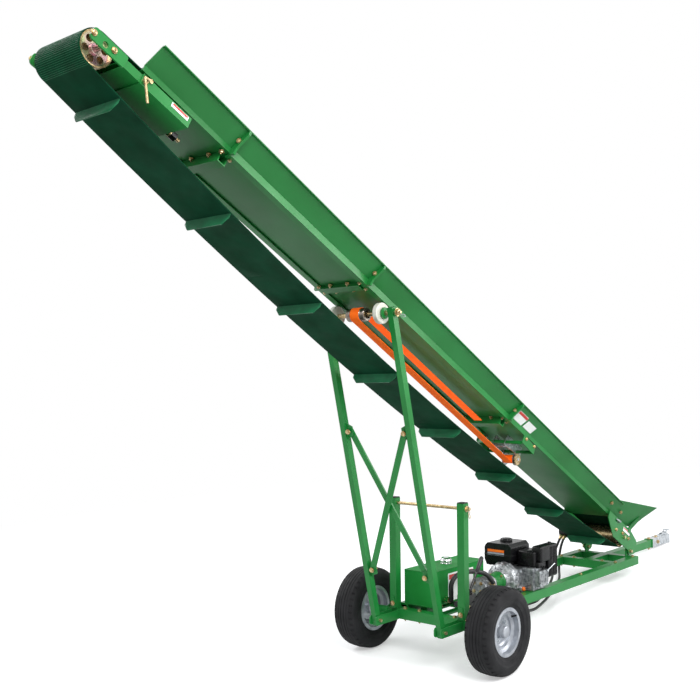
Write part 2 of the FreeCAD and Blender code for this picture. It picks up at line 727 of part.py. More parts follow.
def flat_box(name, half_width, depth, wall, start, end):
    """Wide flat box section lying across the boom, open towards the head and the tail."""
    body = new_body(name)
    section = new_sketch(body, "YZ")
    add_rectangle(section, half_width * 2, depth)
    add_rectangle(section, (half_width - wall) * 2, depth - wall * 2)
    pad(body, section, end - start)
    body.Placement = at(start, 0, take_up_level)
    return body


slider = flat_box("slider_box", slider_half, slider_depth, 3, sleeve_start + 90, S.head_drum_reach - 83)
take_up = [slider]
for side, sign in SIDES.items():
    low, high = take_up_level - 23, take_up_level + 23
    back, tip = S.head_drum_reach - 88, S.head_drum_reach + 58
    plate = prism(f"take_up_plate_{side}", "XZ", [(back, low), (tip, low), (tip, high), (back, high)],
                  S.end_plate_thickness)
    round_corners(plate, "XZ", [(back, low, 8), (back, high, 8), (tip, low, 14), (tip, high, 14)])
    hole = new_sketch(plate, "XZ")
    add_circle(hole, shaft_diameter + 0.6, S.head_drum_reach, drum_level)
    pocket_through(plate, hole)
    plate.Placement = at(0, (slider_half + S.end_plate_thickness / 2 - 0.5) * sign, 0)
    take_up.append(plate)
register(fuse("take_up_slides", take_up), "take_up_slides", boom_frame)

sleeve = flat_box("sleeve_box", S.take_up_width / 2, S.sleeve_depth, sleeve_wall, sleeve_start, sleeve_end)
saddle_base = take_up_level + S.sleeve_depth / 2 - 0.5
saddles = [block(f"sleeve_saddle_{gap}", 44, 236, S.deck_level - 0.3 - saddle_base,
                 at(sleeve_start + gap, -118, saddle_base)) for gap in (20, 160)]
register(fuse("take_up_sleeve", [sleeve] + saddles), "take_up_sleeve", boom_frame)

lock_screw = cylinder("lock_screw", 12, 34, Placement(Vector(0, -34, 0), ALONG_Y))
lock_nut = doc.addObject("Part::Prism", "lock_nut")
lock_nut.Polygon = 6
bind(lock_nut, Circumradius=11, Height=8)
lock_nut.Placement = Placement(Vector(0, -8.3, 0), ALONG_Y)
handle = cylinder("lock_bar", 9, 74, at(0, -28, -74))
register(fuse("lock_handle", [lock_screw, lock_nut, handle]), "lock_handle",
         boom_frame * Placement(Vector((sleeve_end - 34).number, (S.take_up_width / 2).number + 0.3,
                                       take_up_level.number),
                                Rotation(Y, S.boom_angle.number) * Rotation(Z, 180)))

adjuster = cylinder("adjuster_rod", 14, 150, Placement(Vector(0, 0, 0), ALONG_X))
adjuster_nut = doc.addObject("Part::Prism", "adjuster_nut")
adjuster_nut.Polygon = 6
bind(adjuster_nut, Circumradius=17, Height=24)
adjuster_nut.Placement = Placement(Vector(26, 0, 0), ALONG_X)
register(fuse("tension_screw", [adjuster, adjuster_nut]), "tension_screw",
         boom_frame * at(sleeve_start - 62, 50, take_up_level))


def make_drum(name, reach, shaft_end):
    """Light drum: rim tube, two holed web discs and a through shaft."""
    radius = S.drum_diameter / 2
    half = S.belt_width / 2
    shaft = shaft_diameter / 2
    body = new_body(name)
    sketch = new_sketch(body, "XY")
    add_polygon(sketch, [
        (shaft, -half + 12), (radius - 5, -half + 12), (radius - 5, -half), (radius, -half),
        (radius, half), (radius - 5, half), (radius - 5, half - 12), (shaft, half - 12),
        (shaft, shaft_end), (0, shaft_end), (0, -shaft_end), (shaft, -shaft_end)])
    add_polygon(sketch, [
        (shaft, -half + 17), (radius - 5, -half + 17), (radius - 5, half - 17), (shaft, half - 17)])
    revolve(body, sketch)
    holes = new_sketch(body, "XZ")
    for turn in range(0, 360, 60):
        add_circle(holes, 18, 36 * math.cos(math.radians(turn)), 36 * math.sin(math.radians(turn)))
    pocket_through(body, holes)
    return register(body, name, boom_frame * at(reach, 0, drum_level))


make_drum("head_drum", S.head_drum_reach, slider_half + S.end_plate_thickness)
make_drum("tail_drum", S.tail_drum_reach, S.belt_width / 2 + 26)

# ---------------------------------------------------------------- belt
loop_radius = S.drum_diameter / 2 + 0.3


def loop_edges(offset, sag_offset):
    """Top run, both drum wraps and the hanging return run, at an offset from the drums."""
    radius = loop_radius.number + offset
    level = drum_level.number
    head, tail = S.head_drum_reach.number, S.tail_drum_reach.number
    middle = (head + tail) / 2
    low = level - loop_radius.number - S.belt_sag.number - sag_offset
    top = [Part.LineSegment(Vector(tail, 0, level + radius), Vector(head, 0, level + radius)),
           Part.Arc(Vector(head, 0, level + radius), Vector(head + radius, 0, level),
                    Vector(head, 0, level - radius)),
           Part.Arc(Vector(tail, 0, level - radius), Vector(tail - radius, 0, level),
                    Vector(tail, 0, level + radius))]
    sag = Part.Arc(Vector(head, 0, level - radius), Vector(middle, 0, low),
                   Vector(tail, 0, level - radius))
    return top, sag


def face_of(edges):
    return Part.Face(Part.Wire(Part.__sortEdges__([edge.toShape() for edge in edges])))


def make_belt():
    thick = S.belt_thickness.number
    half = S.belt_width.number / 2
    level = drum_level.number
    head, tail = S.head_drum_reach.number, S.tail_drum_reach.number
    outer, outer_sag = loop_edges(thick, thick)
    inner, inner_sag = loop_edges(0, 0)
    joins = [[Part.LineSegment(Vector(end, 0, level - loop_radius.number - thick),
                               Vector(end, 0, level - loop_radius.number))] for end in (head, tail)]
    upper = face_of(outer + inner + joins[0] + joins[1])
    lower = face_of([outer_sag, inner_sag] + joins[0] + joins[1])
    pitch = S.cleat_pitch.number
    tall = S.cleat_height.number
    carried = [upper.extrude(Vector(0, 2 * half, 0)).translated(Vector(0, -half, 0))]
    returned = [lower.extrude(Vector(0, 2 * half, 0)).translated(Vector(0, -half, 0))]
    top = level + loop_radius.number + thick
    clip = 28
    reach = head - 200
    while reach > S.trough_start.number:
        carried.append(cleat(reach, top - 0.5, tall, half - 4, clip))
        reach -= pitch
    radius_of_sag = sag_radius()
    reach = head - 150
    while reach > tail + 60:
        middle = (head + tail) / 2
        drop = radius_of_sag - math.sqrt(radius_of_sag ** 2 - (reach - middle) ** 2)
        low = level - loop_radius.number - S.belt_sag.number + drop - thick
        returned.append(cleat(reach, low + 0.8, -tall, half - 4, clip))
        reach -= pitch
    for name, shapes in (("belt_carrying_run", carried), ("belt_return_run", returned)):
        strip = doc.addObject("Part::Feature", name)
        strip.Shape = shapes[0].multiFuse(shapes[1:])
        register(strip, name, boom_frame)


def sag_radius():
    """Radius of the arc that the slack return run hangs in."""
    chord = (S.head_drum_reach - S.tail_drum_reach).number
    sag = S.belt_sag.number
    return (chord ** 2 / 4 + sag ** 2) / (2 * sag)


def cleat(reach, base, tall, half, clip):
    """A flat moulded bar across the belt, its outer corners clipped."""
    outline = [Vector(0, -half, 0), Vector(0, half, 0), Vector(0, half, tall * 0.4),
               Vector(0, half - clip, tall), Vector(0, clip - half, tall), Vector(0, -half, tall * 0.4)]
    face = Part.Face(Part.makePolygon(outline + outline[:1]))
    return face.extrude(Vector(5, 0, 0)).translated(Vector(reach, 0, base))


make_belt()

# ---------------------------------------------------------------- tail: pivot plates, hopper, motor
tail_offset = upright_centre + S.upright_thickness / 2 + 6 + tail_plate_thickness / 2
tail_plates = []
plate_top = foot_top - 3
plate_back = S.trough_start + 55
for side, sign in SIDES.items():
    plate = prism(f"tail_plate_{side}", "XZ", [
        (20, -20), (20, -4), (268, -4), (plate_back, 76), (plate_back, plate_top), (56, plate_top),
        (-78, 92), (-78, 14), (-20, -20)], tail_plate_thickness)
    round_corners(plate, "XZ", [(20, -20, 12), (-20, -20, 14), (-78, 14, 24), (-78, 92, 44),
                                (56, plate_top, 60), (20, -4, 6)])
    for reach, level, across in ((0, 0, S.pivot_pin_diameter), (S.tail_drum_reach, drum_level, 22)):
        hole = new_sketch(plate, "XZ")
        add_circle(hole, size(across) + 1.0, reach, level)
        pocket_through(plate, hole)
    plate.Placement = at(0, tail_offset * sign, 0)
    gap = tail_offset - tail_plate_thickness / 2 - floor_half
    spacer = block(f"tail_spacer_{side}", 40, gap - 0.3 + 0.5, 18,
                   at(S.trough_start + 8, (floor_half + 0.3) * sign if sign > 0 else
                      -(floor_half + gap + 0.5), S.deck_level + 2))
    tail_plates.append(fuse(f"tail_side_{side}", [plate, spacer]))
register(group("tail_plates", tail_plates), "tail_plates", boom_frame)

flare_slant = math.hypot(S.flare_width.number, S.flare_height.number)
flare_turn = math.degrees(math.atan2(S.flare_width.number, S.flare_height.number))
wing_sheet = 3
wing_rear_low = (54, 30)
wing_rear_high = (40, 234)
wing_outline = [(S.trough_start + 104, 6), (S.trough_start + 104, flare_slant - 8),
                wing_rear_high, wing_rear_low, (130, 6)]
hopper = []
for side, sign in SIDES.items():
    wing = prism(f"hopper_wing_{side}", "XZ", wing_outline, wing_sheet, symmetric=True)
    inset = sheet_wall * 1.45 + wing_sheet + 0.4
    wing.Placement = Placement(Vector(0, ((floor_half - inset) * sign).number, foot_top.number),
                               Rotation(X, -flare_turn * sign))
    hopper.append(wing)


def wing_point(corner):
    """Where a corner of the left wing's outline lies in the boom's frame."""
    reach, rise = corner
    return hopper[0].Placement.multVec(Vector(reach, 0, rise))


low, high = wing_point(wing_rear_low), wing_point(wing_rear_high)
panel = new_body("hopper_back")
sketch = new_sketch(panel, "YZ")
slope = math.hypot(high.z - low.z, high.x - low.x)
panel_gap = 4
add_polygon(sketch, [(panel_gap - low.y, 0), (low.y - panel_gap, 0), (high.y - panel_gap, slope),
                     (panel_gap - high.y, slope)])
pad(panel, sketch, wing_sheet, symmetric=True)
panel.Placement = Placement(Vector(low.x, 0, low.z),
                            Rotation(Y, math.degrees(math.atan2(high.x - low.x, high.z - low.z))))
hopper.append(panel)
strut_foot = tail_offset + tail_plate_thickness / 2 + 0.3
strut_thickness, strut_gap = 5, 0.3
strut_inside, strut_outside = wing_sheet / 2 + strut_gap, wing_sheet / 2 + strut_gap + strut_thickness


def beside_wing(out, rise):
    """A point across the boom, a distance outside the left wing's mid plane and up its slope."""
    spot = hopper[0].Placement.multVec(Vector(0, out, rise))
    return spot.y, spot.z


struts = []
for side, sign in SIDES.items():
    outline = [(strut_foot, 96), (strut_foot + strut_thickness, 96),
               (strut_foot + strut_thickness, 128), beside_wing(strut_outside, 84),
               beside_wing(strut_outside, 112), beside_wing(strut_inside, 112),
               beside_wing(strut_inside, 80), (strut_foot, 131)]
    strut = prism(f"hopper_strut_{side}", "YZ", [(y * sign, z) for y, z in outline], 38)
    strut.Placement = at(74, 0, 0)
    struts.append(strut)
register(group("hopper", hopper + struts), "hopper", boom_frame)

motor = cylinder("motor_can", S.motor_diameter, S.motor_length, Placement(Vector(), ALONG_Y))
register(motor, "drive_motor",
         boom_frame * Placement(Vector(S.tail_drum_reach.number,
                                       (-tail_offset - 5 - S.motor_length).number,
                                       drum_level.number), ALONG_Y))


def make_hose(name, points, diameter):
    """A round hose: straight runs between hand-chosen points, joined by tangent arcs."""
    spots = [Vector(*point) for point in points]
    legs = [(b - a).Length for a, b in zip(spots, spots[1:])]
    edges, start, radii = [], spots[0], []
    for i in range(1, len(spots) - 1):
        before = (spots[i - 1] - spots[i]).normalize()
        after = (spots[i + 1] - spots[i]).normalize()
        turn = math.pi - before.getAngle(after)
        tangent = 0.45 * min(legs[i - 1], legs[i])
        radius = tangent / math.tan(turn / 2)
        middle = (before + after).normalize() * (radius / math.cos(turn / 2) - radius)
        edges.append(Part.LineSegment(start, spots[i] + before * tangent).toShape())
        edges.append(Part.Arc(spots[i] + before * tangent, spots[i] + middle,
                              spots[i] + after * tangent).toShape())
        start = spots[i] + after * tangent
        radii.append(round(radius))
    edges.append(Part.LineSegment(start, spots[-1]).toShape())
    ring = Part.Wire(Part.Circle(spots[0], spots[1] - spots[0], diameter.number / 2).toShape())
    tube = doc.addObject("Part::Feature", name)
    tube.Shape = Part.Wire(edges).makePipeShell([ring], True, False)
    print(name, "radii", radii, "runs", round(sum(legs)), "tube", round(sum(e.Length for e in edges)))
    return register(tube, name)


make_hose("hose_pressure", [
    (1843, 236, 349), (1776, 236, 294), (1757, 235, 140), (1560, 120, 127), (1165, -20, 112),
    (960, -78, 106), (780, -128, 112), (430, -139, 168), (306, -135, 283), (184.5, -135, 283)],
    S.hose_diameter)
make_hose("hose_return", [
    (1843, 262, 349), (1752, 262, 270), (1690, 252, 150), (1560, 168, 128), (1034, -36, 118),
    (880, -50, 120), (600, -50, 140), (440, -52, 160), (404, -52, 257)], S.hose_diameter)
make_hose("suction_hose", [
    (134, -38, 270), (118, -48, 395), (250, -66, 410), (360, -98, 385), (412, -112, 326)],
    S.suction_hose_diameter)

# ---------------------------------------------------------------- winch and lifting strap
winch_reach = 1371
winch_plates = [block(f"winch_plate_{y}", 110, 4, 98, at(winch_reach - 55, y, -18)) for y in (-38, 34)]
winch_drum = cylinder("winch_drum", 44, 70, Placement(Vector(winch_reach, -35, 16), ALONG_Y))
winch_top = block("winch_top", 110, 76, 20, at(winch_reach - 55, -38, S.deck_level - 24.3))
register(fuse("winch", winch_plates + [winch_drum, winch_top]), "winch", boom_frame)


def make_strap():
    """Flat webbing from the winch drum up to the pulley, round it, and back to its hook."""
    half = S.strap_width.number / 2
    pulley = S.strap_pulley_diameter.number / 2 + 0.6
    centre = roller_level.number
    end = S.mast_reach.number
    runs = []
    lower = [(winch_reach, -7), (end, centre - pulley), (end, centre - pulley - 2.4), (winch_reach, -9.4)]
    hook_reach = S.joint_lower.number + 60
    upper = [(hook_reach, 62), (end, centre + pulley), (end, centre + pulley + 2.4), (hook_reach, 64.4)]
    for outline in (lower, upper):
        points = [Vector(x, -half, z) for x, z in outline]
        runs.append(Part.Face(Part.makePolygon(points + points[:1])).extrude(Vector(0, 2 * half, 0)))
    strap = doc.addObject("Part::Feature", "lift_strap")
    strap.Shape = Part.makeCompound(runs)
    register(strap, "lift_strap", boom_frame)
    ring = Part.makeCylinder(pulley + 2.4, 2 * half, Vector(end, -half, centre), Vector(0, 1, 0))
    ring = ring.cut(Part.makeCylinder(pulley, 2 * half, Vector(end, -half, centre), Vector(0, 1, 0)))
    beyond = Part.makeBox(100, 2 * half, 200, Vector(end + 0.2, -half, centre - 100))
    bight = doc.addObject("Part::Feature", "strap_bight")
    bight.Shape = ring.common(beyond)
    register(bight, "strap_bight", boom_frame)


make_strap()

# ---------------------------------------------------------------- lift mast
legs = []
for side, sign in SIDES.items():
    leg = new_body(f"mast_leg_{side}")
    sketch = new_sketch(leg, "XY")
    add_rectangle(sketch, S.leg_depth, S.leg_width)
    add_rectangle(sketch, S.leg_depth - 6, S.leg_width - 6)
    pad(leg, sketch, mast_length + 48)
    for level, across in ((24, S.foot_pin_diameter), (mast_length + 24, S.roller_shaft_diameter)):
        hole = new_sketch(leg, "XZ")
        add_circle(hole, size(across) + 0.2, 0, level)
        pocket_through(leg, hole)
    leg.Placement = mast_frame * at(0, leg_centre * sign, -24)
    legs.append(leg)
register(group("mast_legs", legs), "mast_legs")

brace_low, brace_high = 272, 968
leg_inside = S.leg_spread / 2 - S.leg_width / 2
gusset_thickness, bar_thickness, bar_width, gusset_reach = 6, 8, 30, 18
low_reach, high_reach = leg_inside - 22, leg_inside - 16
braces = []
for sign in (1, -1):
    across, rise = (low_reach + high_reach).number, brace_high - brace_low
    bar = link_bar(f"brace_bar_{sign}", math.hypot(across, rise), bar_width, bar_thickness)
    lean = math.degrees(math.atan2(rise, across))
    layer = gusset_thickness / 2 if sign > 0 else -gusset_thickness / 2 - bar_thickness
    bar.Placement = Placement(Vector(layer, (low_reach * -sign).number, brace_low),
                              Rotation(Y, 90) * Rotation(Z, 90 + (lean if sign > 0 else 180 - lean)))
    braces.append(bar)
    for level, reach in ((brace_low, low_reach), (brace_high, high_reach)):
        inner = reach - gusset_reach
        braces.append(prism(f"gusset_{sign}_{level}", "YZ", [
            (inner * sign, level - 22), (leg_inside * sign, level - 38),
            (leg_inside * sign, level + 38), (inner * sign, level + 22)], gusset_thickness))
register(fuse("mast_braces", braces), "mast_braces", mast_frame)

shaft_length = S.leg_spread + S.leg_width + 40
shaft = cylinder("roller_shaft", S.roller_shaft_diameter, shaft_length,
                 Placement(Vector(0, 0, 0), ALONG_Y))
register(shaft, "roller_shaft",
         mast_frame * Placement(Vector(0, -shaft_length.number / 2, mast_length), ALONG_Y))


def make_wheel_on_shaft(name, across, width, spread):
    rollers = []
    bore = S.roller_shaft_diameter / 2 + 0.05
    for index, y in enumerate(spread):
        body = new_body(f"{name}_{index}")
        sketch = new_sketch(body, "XY")
        radius, half = size(across) / 2, size(width) / 2
        add_polygon(sketch, [
            (bore, -half), (radius - 3, -half), (radius, -half + 3), (radius, half - 3),
            (radius - 3, half), (bore, half)])
        revolve(body, sketch)
        body.Placement = at(0, y, 0)
        rollers.append(body)
    register(group(name, rollers), name, mast_frame * at(0, 0, mast_length))


make_wheel_on_shaft("nylon_rollers", S.roller_diameter - 2, S.roller_width,
                    [S.roller_spread / 2, -S.roller_spread / 2])
make_wheel_on_shaft("strap_pulley", S.strap_pulley_diameter, S.strap_width + 8, [0])

# ---------------------------------------------------------------- park, check and write out
doc.recompute()


def parking_angle():
    """Nose-down turn about the axle that lets the coupler down onto the floor."""
    reach = S.tongue_reach + coupler_ball_x + S.coupler_width / 2 + 2
    drop = rail_centre - coupler_depth - axle_height
    arm = math.hypot(reach.number, drop.number)
    lean = math.degrees(math.atan2(drop.number, reach.number))
    return math.degrees(math.asin(axle_height.number / arm)) + lean


axle_line = Vector(0, 0, axle_height.number)
park = Placement(Vector(0, 0, 0), Rotation(Y, parking_angle()), axle_line)
box = FreeCAD.BoundBox()
for node in nodes:
    node.Placement = park * node.Placement
    box.add(node.Shape.optimalBoundingBox(False) if hasattr(node.Shape, "optimalBoundingBox")
            else node.Shape.BoundBox)
centre = Vector((box.XMin + box.XMax) / 2, 0, box.ZMin)
for node in nodes:
    node.Placement = Placement(-centre, Rotation()) * node.Placement
doc.recompute()

faults = [o.Label for o in doc.Objects if {"Invalid", "Error"} & set(o.State)]
faults += [n.Label for n in nodes if n.Shape.isNull() or not n.Shape.isValid()]
if faults:
    raise RuntimeError("these sub-parts failed: " + ", ".join(faults))

os.makedirs("parts", exist_ok=True)
for node in nodes:
    node.Shape.exportStep(f"parts/{node.Label}.step")

whole = Placement(-centre, Rotation()) * park
print("overall", round(box.XLength), round(box.YLength), round(box.ZLength))
print("parking angle", round(parking_angle(), 4), "mast lean", round(mast_lean, 3), "length", round(mast_length, 1))
for label, spot in (("wheel axle", Vector(0, 0, axle_height.number)),
                    ("boom pivot", Vector(S.pivot_reach.number, 0, S.pivot_height.number)),
                    ("coupler ball", Vector((S.tongue_reach + coupler_ball_x).number, 0,
                                            (rail_centre - coupler_depth + 11.5).number)),
                    ("mast foot", foot_spot), ("roller shaft", roller_spot),
                    ("head drum", boom_frame.multVec(Vector(S.head_drum_reach.number, 0, drum_level.number)))):
    place = whole.multVec(spot)
    print(label, round(place.x, 3), round(place.y, 3), round(place.z, 3))
along = whole.Rotation.multVec(boom_frame.Rotation.multVec(X))
print("along boom", round(along.x, 6), round(along.y, 6), round(along.z, 6))
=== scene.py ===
import json
import math

import bmesh
import bpy
from mathutils import Matrix, Vector


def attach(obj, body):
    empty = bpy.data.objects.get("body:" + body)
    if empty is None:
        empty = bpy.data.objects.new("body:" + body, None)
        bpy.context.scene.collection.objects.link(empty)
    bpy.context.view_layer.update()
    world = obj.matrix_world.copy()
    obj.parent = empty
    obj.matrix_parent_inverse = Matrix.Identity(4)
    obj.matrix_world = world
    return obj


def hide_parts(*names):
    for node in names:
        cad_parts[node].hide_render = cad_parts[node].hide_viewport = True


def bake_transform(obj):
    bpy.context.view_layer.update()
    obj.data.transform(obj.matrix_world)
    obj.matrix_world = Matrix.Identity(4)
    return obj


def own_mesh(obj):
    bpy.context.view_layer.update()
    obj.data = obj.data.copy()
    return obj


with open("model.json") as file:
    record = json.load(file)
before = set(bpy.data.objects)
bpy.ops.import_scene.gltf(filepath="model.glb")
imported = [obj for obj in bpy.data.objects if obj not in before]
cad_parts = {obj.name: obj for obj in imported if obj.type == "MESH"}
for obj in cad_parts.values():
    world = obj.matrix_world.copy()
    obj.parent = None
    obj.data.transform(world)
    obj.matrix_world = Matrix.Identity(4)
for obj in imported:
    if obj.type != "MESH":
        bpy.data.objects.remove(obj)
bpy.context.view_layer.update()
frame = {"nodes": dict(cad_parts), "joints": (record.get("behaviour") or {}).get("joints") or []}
nodes = frame["nodes"]
pivot_of = {joint["name"]: Vector(joint["pos_m"]) for joint in frame["joints"]
            if joint.get("pos_m")}

# ---- Viewpoint
# The viewer stands low behind the right-hand wheel and looks up the conveyor. The camera is placed
# from the axle and turned with the parked trailer, whose nose is down on its coupler.
AXLE = Vector((pivot_of["wheel_left_spin"].x, 0, pivot_of["wheel_left_spin"].z))
NOSE_DOWN = 3.7764
VIEW_TILT = Matrix.Rotation(math.radians(NOSE_DOWN + 1), 4, "Y")
EYE_FROM_AXLE = Vector((-3.827, -2.760, 1.098))
EYE_YAW = math.radians(40.584)
LENS_MM, SENSOR_MM, VIEW_SHIFT, VIEW_DEPTH = 48.9, 36, 0.0654, 100


def add_object(name, data):
    made = bpy.data.objects.new(name, data)
    bpy.context.collection.objects.link(made)
    return made


look = VIEW_TILT @ Vector((math.cos(EYE_YAW), math.sin(EYE_YAW), 0))
to_right = VIEW_TILT @ Vector((math.sin(EYE_YAW), -math.cos(EYE_YAW), 0))
upward = VIEW_TILT @ Vector((0, 0, 1))
camera = add_object("camera", bpy.data.cameras.new("camera"))
camera.data.lens, camera.data.sensor_width = LENS_MM, SENSOR_MM
camera.data.shift_y, camera.data.clip_end = VIEW_SHIFT, VIEW_DEPTH
camera.matrix_world = (Matrix.Translation(AXLE + VIEW_TILT @ EYE_FROM_AXLE)
                       @ Matrix((to_right, upward, -look)).transposed().to_4x4())
bpy.context.scene.camera = camera
bpy.context.scene.view_settings.view_transform = "Standard"

# ---- Drive hoses
# Two black rubber hydraulic hoses hang from the drive motor beside the left rail, cross under the
# trailer and rise to the valve and the pump. Each ends in a crimped steel ferrule.
MM = Matrix.Scale(0.001, 4)
BOOM_SLOPE, AXLE_HEIGHT, HOSE_DIAMETER = 28.4, 208, 16
# Millimetres on the level trailer: x forward of the axle, y left, z up from the wheels' ground.
TRAILER = (Matrix.Translation(AXLE) @ Matrix.Rotation(math.radians(NOSE_DOWN), 4, "Y") @ MM
           @ Matrix.Translation((0, 0, -AXLE_HEIGHT)))
# Millimetres along the boom from its pivot: x up the trough, y right, z square to the deck.
BOOM = (Matrix.Translation(pivot_of["boom_lift"])
        @ Matrix.Rotation(math.radians(NOSE_DOWN + BOOM_SLOPE), 4, "Y")
        @ Matrix.Rotation(math.pi, 4, "Z") @ MM)
METRES = Matrix()
place_of, slot_of = {"chassis": TRAILER, "boom": BOOM}, {}
hose_routes = {
    "hose_pressure": [
        (1843, 236, 349), (1776, 236, 294), (1757, 235, 140), (1560, 120, 127), (1165, -20, 112),
        (960, -78, 106), (780, -128, 112), (430, -139, 168), (306, -135, 283), (184.5, -135, 283)],
    "hose_return": [
        (1843, 262, 349), (1752, 262, 270), (1690, 252, 150), (1560, 168, 128), (1034, -36, 118),
        (880, -50, 120), (600, -50, 140), (440, -52, 160), (404, -52, 257)]}


def linear(code):
    """An sRGB hex colour as linear RGBA."""
    channels = [int(code[i:i + 2], 16) / 255 for i in (1, 3, 5)]
    curve = [c / 12.92 if c <= 0.04045 else ((c + 0.055) / 1.055) ** 2.4 for c in channels]
    return (*curve, 1.0)


def add_node(tree, kind, settings=None, **inputs):
    """Adds a node: settings are its own properties, inputs are values, or sockets to link.
    An input is named as on the node with _ for a space, or _ and its number."""
    made = tree.nodes.new(kind)
    for key, value in (settings or {}).items():
        setattr(made, key, value)
    for key, value in inputs.items():
        socket = made.inputs[int(key[1:])] if key[0] == "_" else made.inputs[key.replace("_", " ")]
        if isinstance(value, bpy.types.NodeSocket):
            tree.links.new(value, socket)
        else:
            socket.default_value = value
    return made


def start_material(name, slot=None):
    material = bpy.data.materials.new(name)
    material.use_nodes = True
    material.node_tree.nodes.clear()
    slot_of[material] = slot
    return material, material.node_tree


def noise(tree, size_mm, detail):
    """Noise whose patches have a real size."""
    place = add_node(tree, "ShaderNodeTexCoord").outputs["Object"]
    return add_node(tree, "ShaderNodeTexNoise", Vector=place, Scale=1000 / size_mm,
                    Detail=detail).outputs[0]


def mottle(tree, low, high, size_mm, detail):
    """A colour that drifts between two hex colours."""
    ramp = add_node(tree, "ShaderNodeValToRGB", Fac=noise(tree, size_mm, detail))
    for stop, position, code in zip(ramp.color_ramp.elements, (0.35, 0.65), (low, high)):
        stop.position, stop.color = position, linear(code)
    return ramp.outputs[0]


def surface(name, slot, low, high, size_mm, rough, metal=0.0, bump=None, coat=0.0, spec=0.5,
            detail=3.0, rough_drift=0.0):
    """A finish whose colour and gloss drift a little. bump is its grain's size and depth."""
    material, tree = start_material(name, slot)
    shader = add_node(tree, "ShaderNodeBsdfPrincipled", Metallic=metal, Roughness=rough,
                      Base_Color=mottle(tree, low, high, size_mm, detail), Coat_Weight=coat,
                      Coat_Roughness=0.12, Specular_IOR_Level=spec)
    if rough_drift:
        gloss = add_node(tree, "ShaderNodeMapRange", Value=noise(tree, size_mm * 0.6, 4.0),
                         _1=0.3, _2=0.7, _3=rough - rough_drift, _4=rough + rough_drift)
        tree.links.new(gloss.outputs[0], shader.inputs["Roughness"])
    if bump:
        grain_mm, depth_mm = bump
        grain = add_node(tree, "ShaderNodeBump", Strength=1.0, Distance=depth_mm / 1000,
                         Height=noise(tree, grain_mm, 2.0))
        tree.links.new(grain.outputs[0], shader.inputs["Normal"])
    add_node(tree, "ShaderNodeOutputMaterial", Surface=shader.outputs[0])
    return material


# Extruded nitrile rubber cover with a cloth-wrap weave: nearly black, with a soft sheen.
hose_rubber = surface("wrapped nitrile rubber", "hose", "#0E0E0F", "#1B1B1D", 20, 0.42,
                      bump=(3, 0.25), rough_drift=0.08)
# Zinc plate with a yellow chromate dip: brassy, with a faint pink and green bloom.
yellow_zinc = surface("yellow chromate zinc", "zinc_yellow", "#A98F66", "#DAC59A", 14, 0.3,
                      metal=0.9, rough_drift=0.08)


def put(name, bm, body, *finishes, slot=None, place=None, stands_for=(), crease=35):
    """Turns a shape built in its body's own frame into a piece that rides on that body. Its slot
    is its first finish's. The slot argument is not used."""
    bm.transform(place_of[body] if place is None else place)
    bmesh.ops.recalc_face_normals(bm, faces=bm.faces)
    mesh = bpy.data.meshes.new(name)
    bm.to_mesh(mesh)
    bm.free()
    for polygon in mesh.polygons:
        polygon.use_smooth = True
    mesh.set_sharp_from_angle(angle=math.radians(crease))
    piece = add_object(name, mesh)
    for finish in finishes:
        mesh.materials.append(finish)
    if stands_for:
        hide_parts(*stands_for)
    if body:
        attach(piece, body)
    return piece


def aimed(spot, toward):
    """A local frame at a spot whose z axis points a given way."""
    return Matrix.Translation(spot) @ Vector(toward).to_track_quat("Z", "Y").to_matrix().to_4x4()


def paint(verts, finish):
    """Gives the faces round some vertices one of the piece's finishes, by its number."""
    for face in {face for vert in verts for face in vert.link_faces}:
        face.material_index = finish


def add_bar(bm, start, toward, radius, length, sides=16, tip=None, finish=0):
    """A round bar from a point; tip is its far radius where it tapers."""
    made = bmesh.ops.create_cone(
        bm, cap_ends=True, segments=sides, radius1=radius, radius2=radius if tip is None else tip,
        depth=length, matrix=aimed(start, toward) @ Matrix.Translation((0, 0, length / 2)))
    paint(made["verts"], finish)


def add_ferrule(bm, spot, toward, radius):
    """A crimped hose end: hexagon, collar and a ribbed shell over the hose."""
    add_bar(bm, spot, toward, radius * 1.55, radius * 1.3, 6)
    for step in range(4):
        start = Vector(spot) + Vector(toward).normalized() * radius * (1.3 + 0.62 * step)
        add_bar(bm, start, toward, radius * 1.28, radius * 0.62, 20, radius * 1.14)


for name, route in hose_routes.items():
    line = bpy.data.curves.new(name + "_route", "CURVE")
    line.dimensions = "3D"
    spline = line.splines.new("NURBS")
    spline.points.add(len(route) - 1)
    for point, spot in zip(spline.points, route):
        point.co = (*(TRAILER @ Vector(spot)), 1)
    spline.order_u = 3
    spline.use_endpoint_u = True
    spline.resolution_u = 14
    guide = add_object(name + "_route", line)
    settled = bpy.data.meshes.new_from_object(guide)
    path = [tuple(vert.co) for vert in settled.vertices]
    line.bevel_depth = HOSE_DIAMETER / 2000
    line.bevel_resolution = 5
    line.use_fill_caps = True
    tube = bpy.data.meshes.new_from_object(guide)
    bpy.data.objects.remove(guide)
    bm = bmesh.new()
    bm.from_mesh(tube)
    hose = put(name + "_visual", bm, None, hose_rubber, place=METRES, stands_for=[name])
    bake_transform(hose)
    for end, body, ahead in ((0, "boom", 1), (-1, "chassis", -1)):
        bm = bmesh.new()
        tip = Vector(route[end])
        way = Vector(route[end + ahead]) - tip
        add_ferrule(bm, tip - way.normalized() * 3, way, HOSE_DIAMETER / 2)
        put(f"{name}_ferrule_{body}", bm, body, yellow_zinc, place=TRAILER)
    length = sum((Vector(a) - Vector(b)).length for a, b in zip(path, path[1:]))

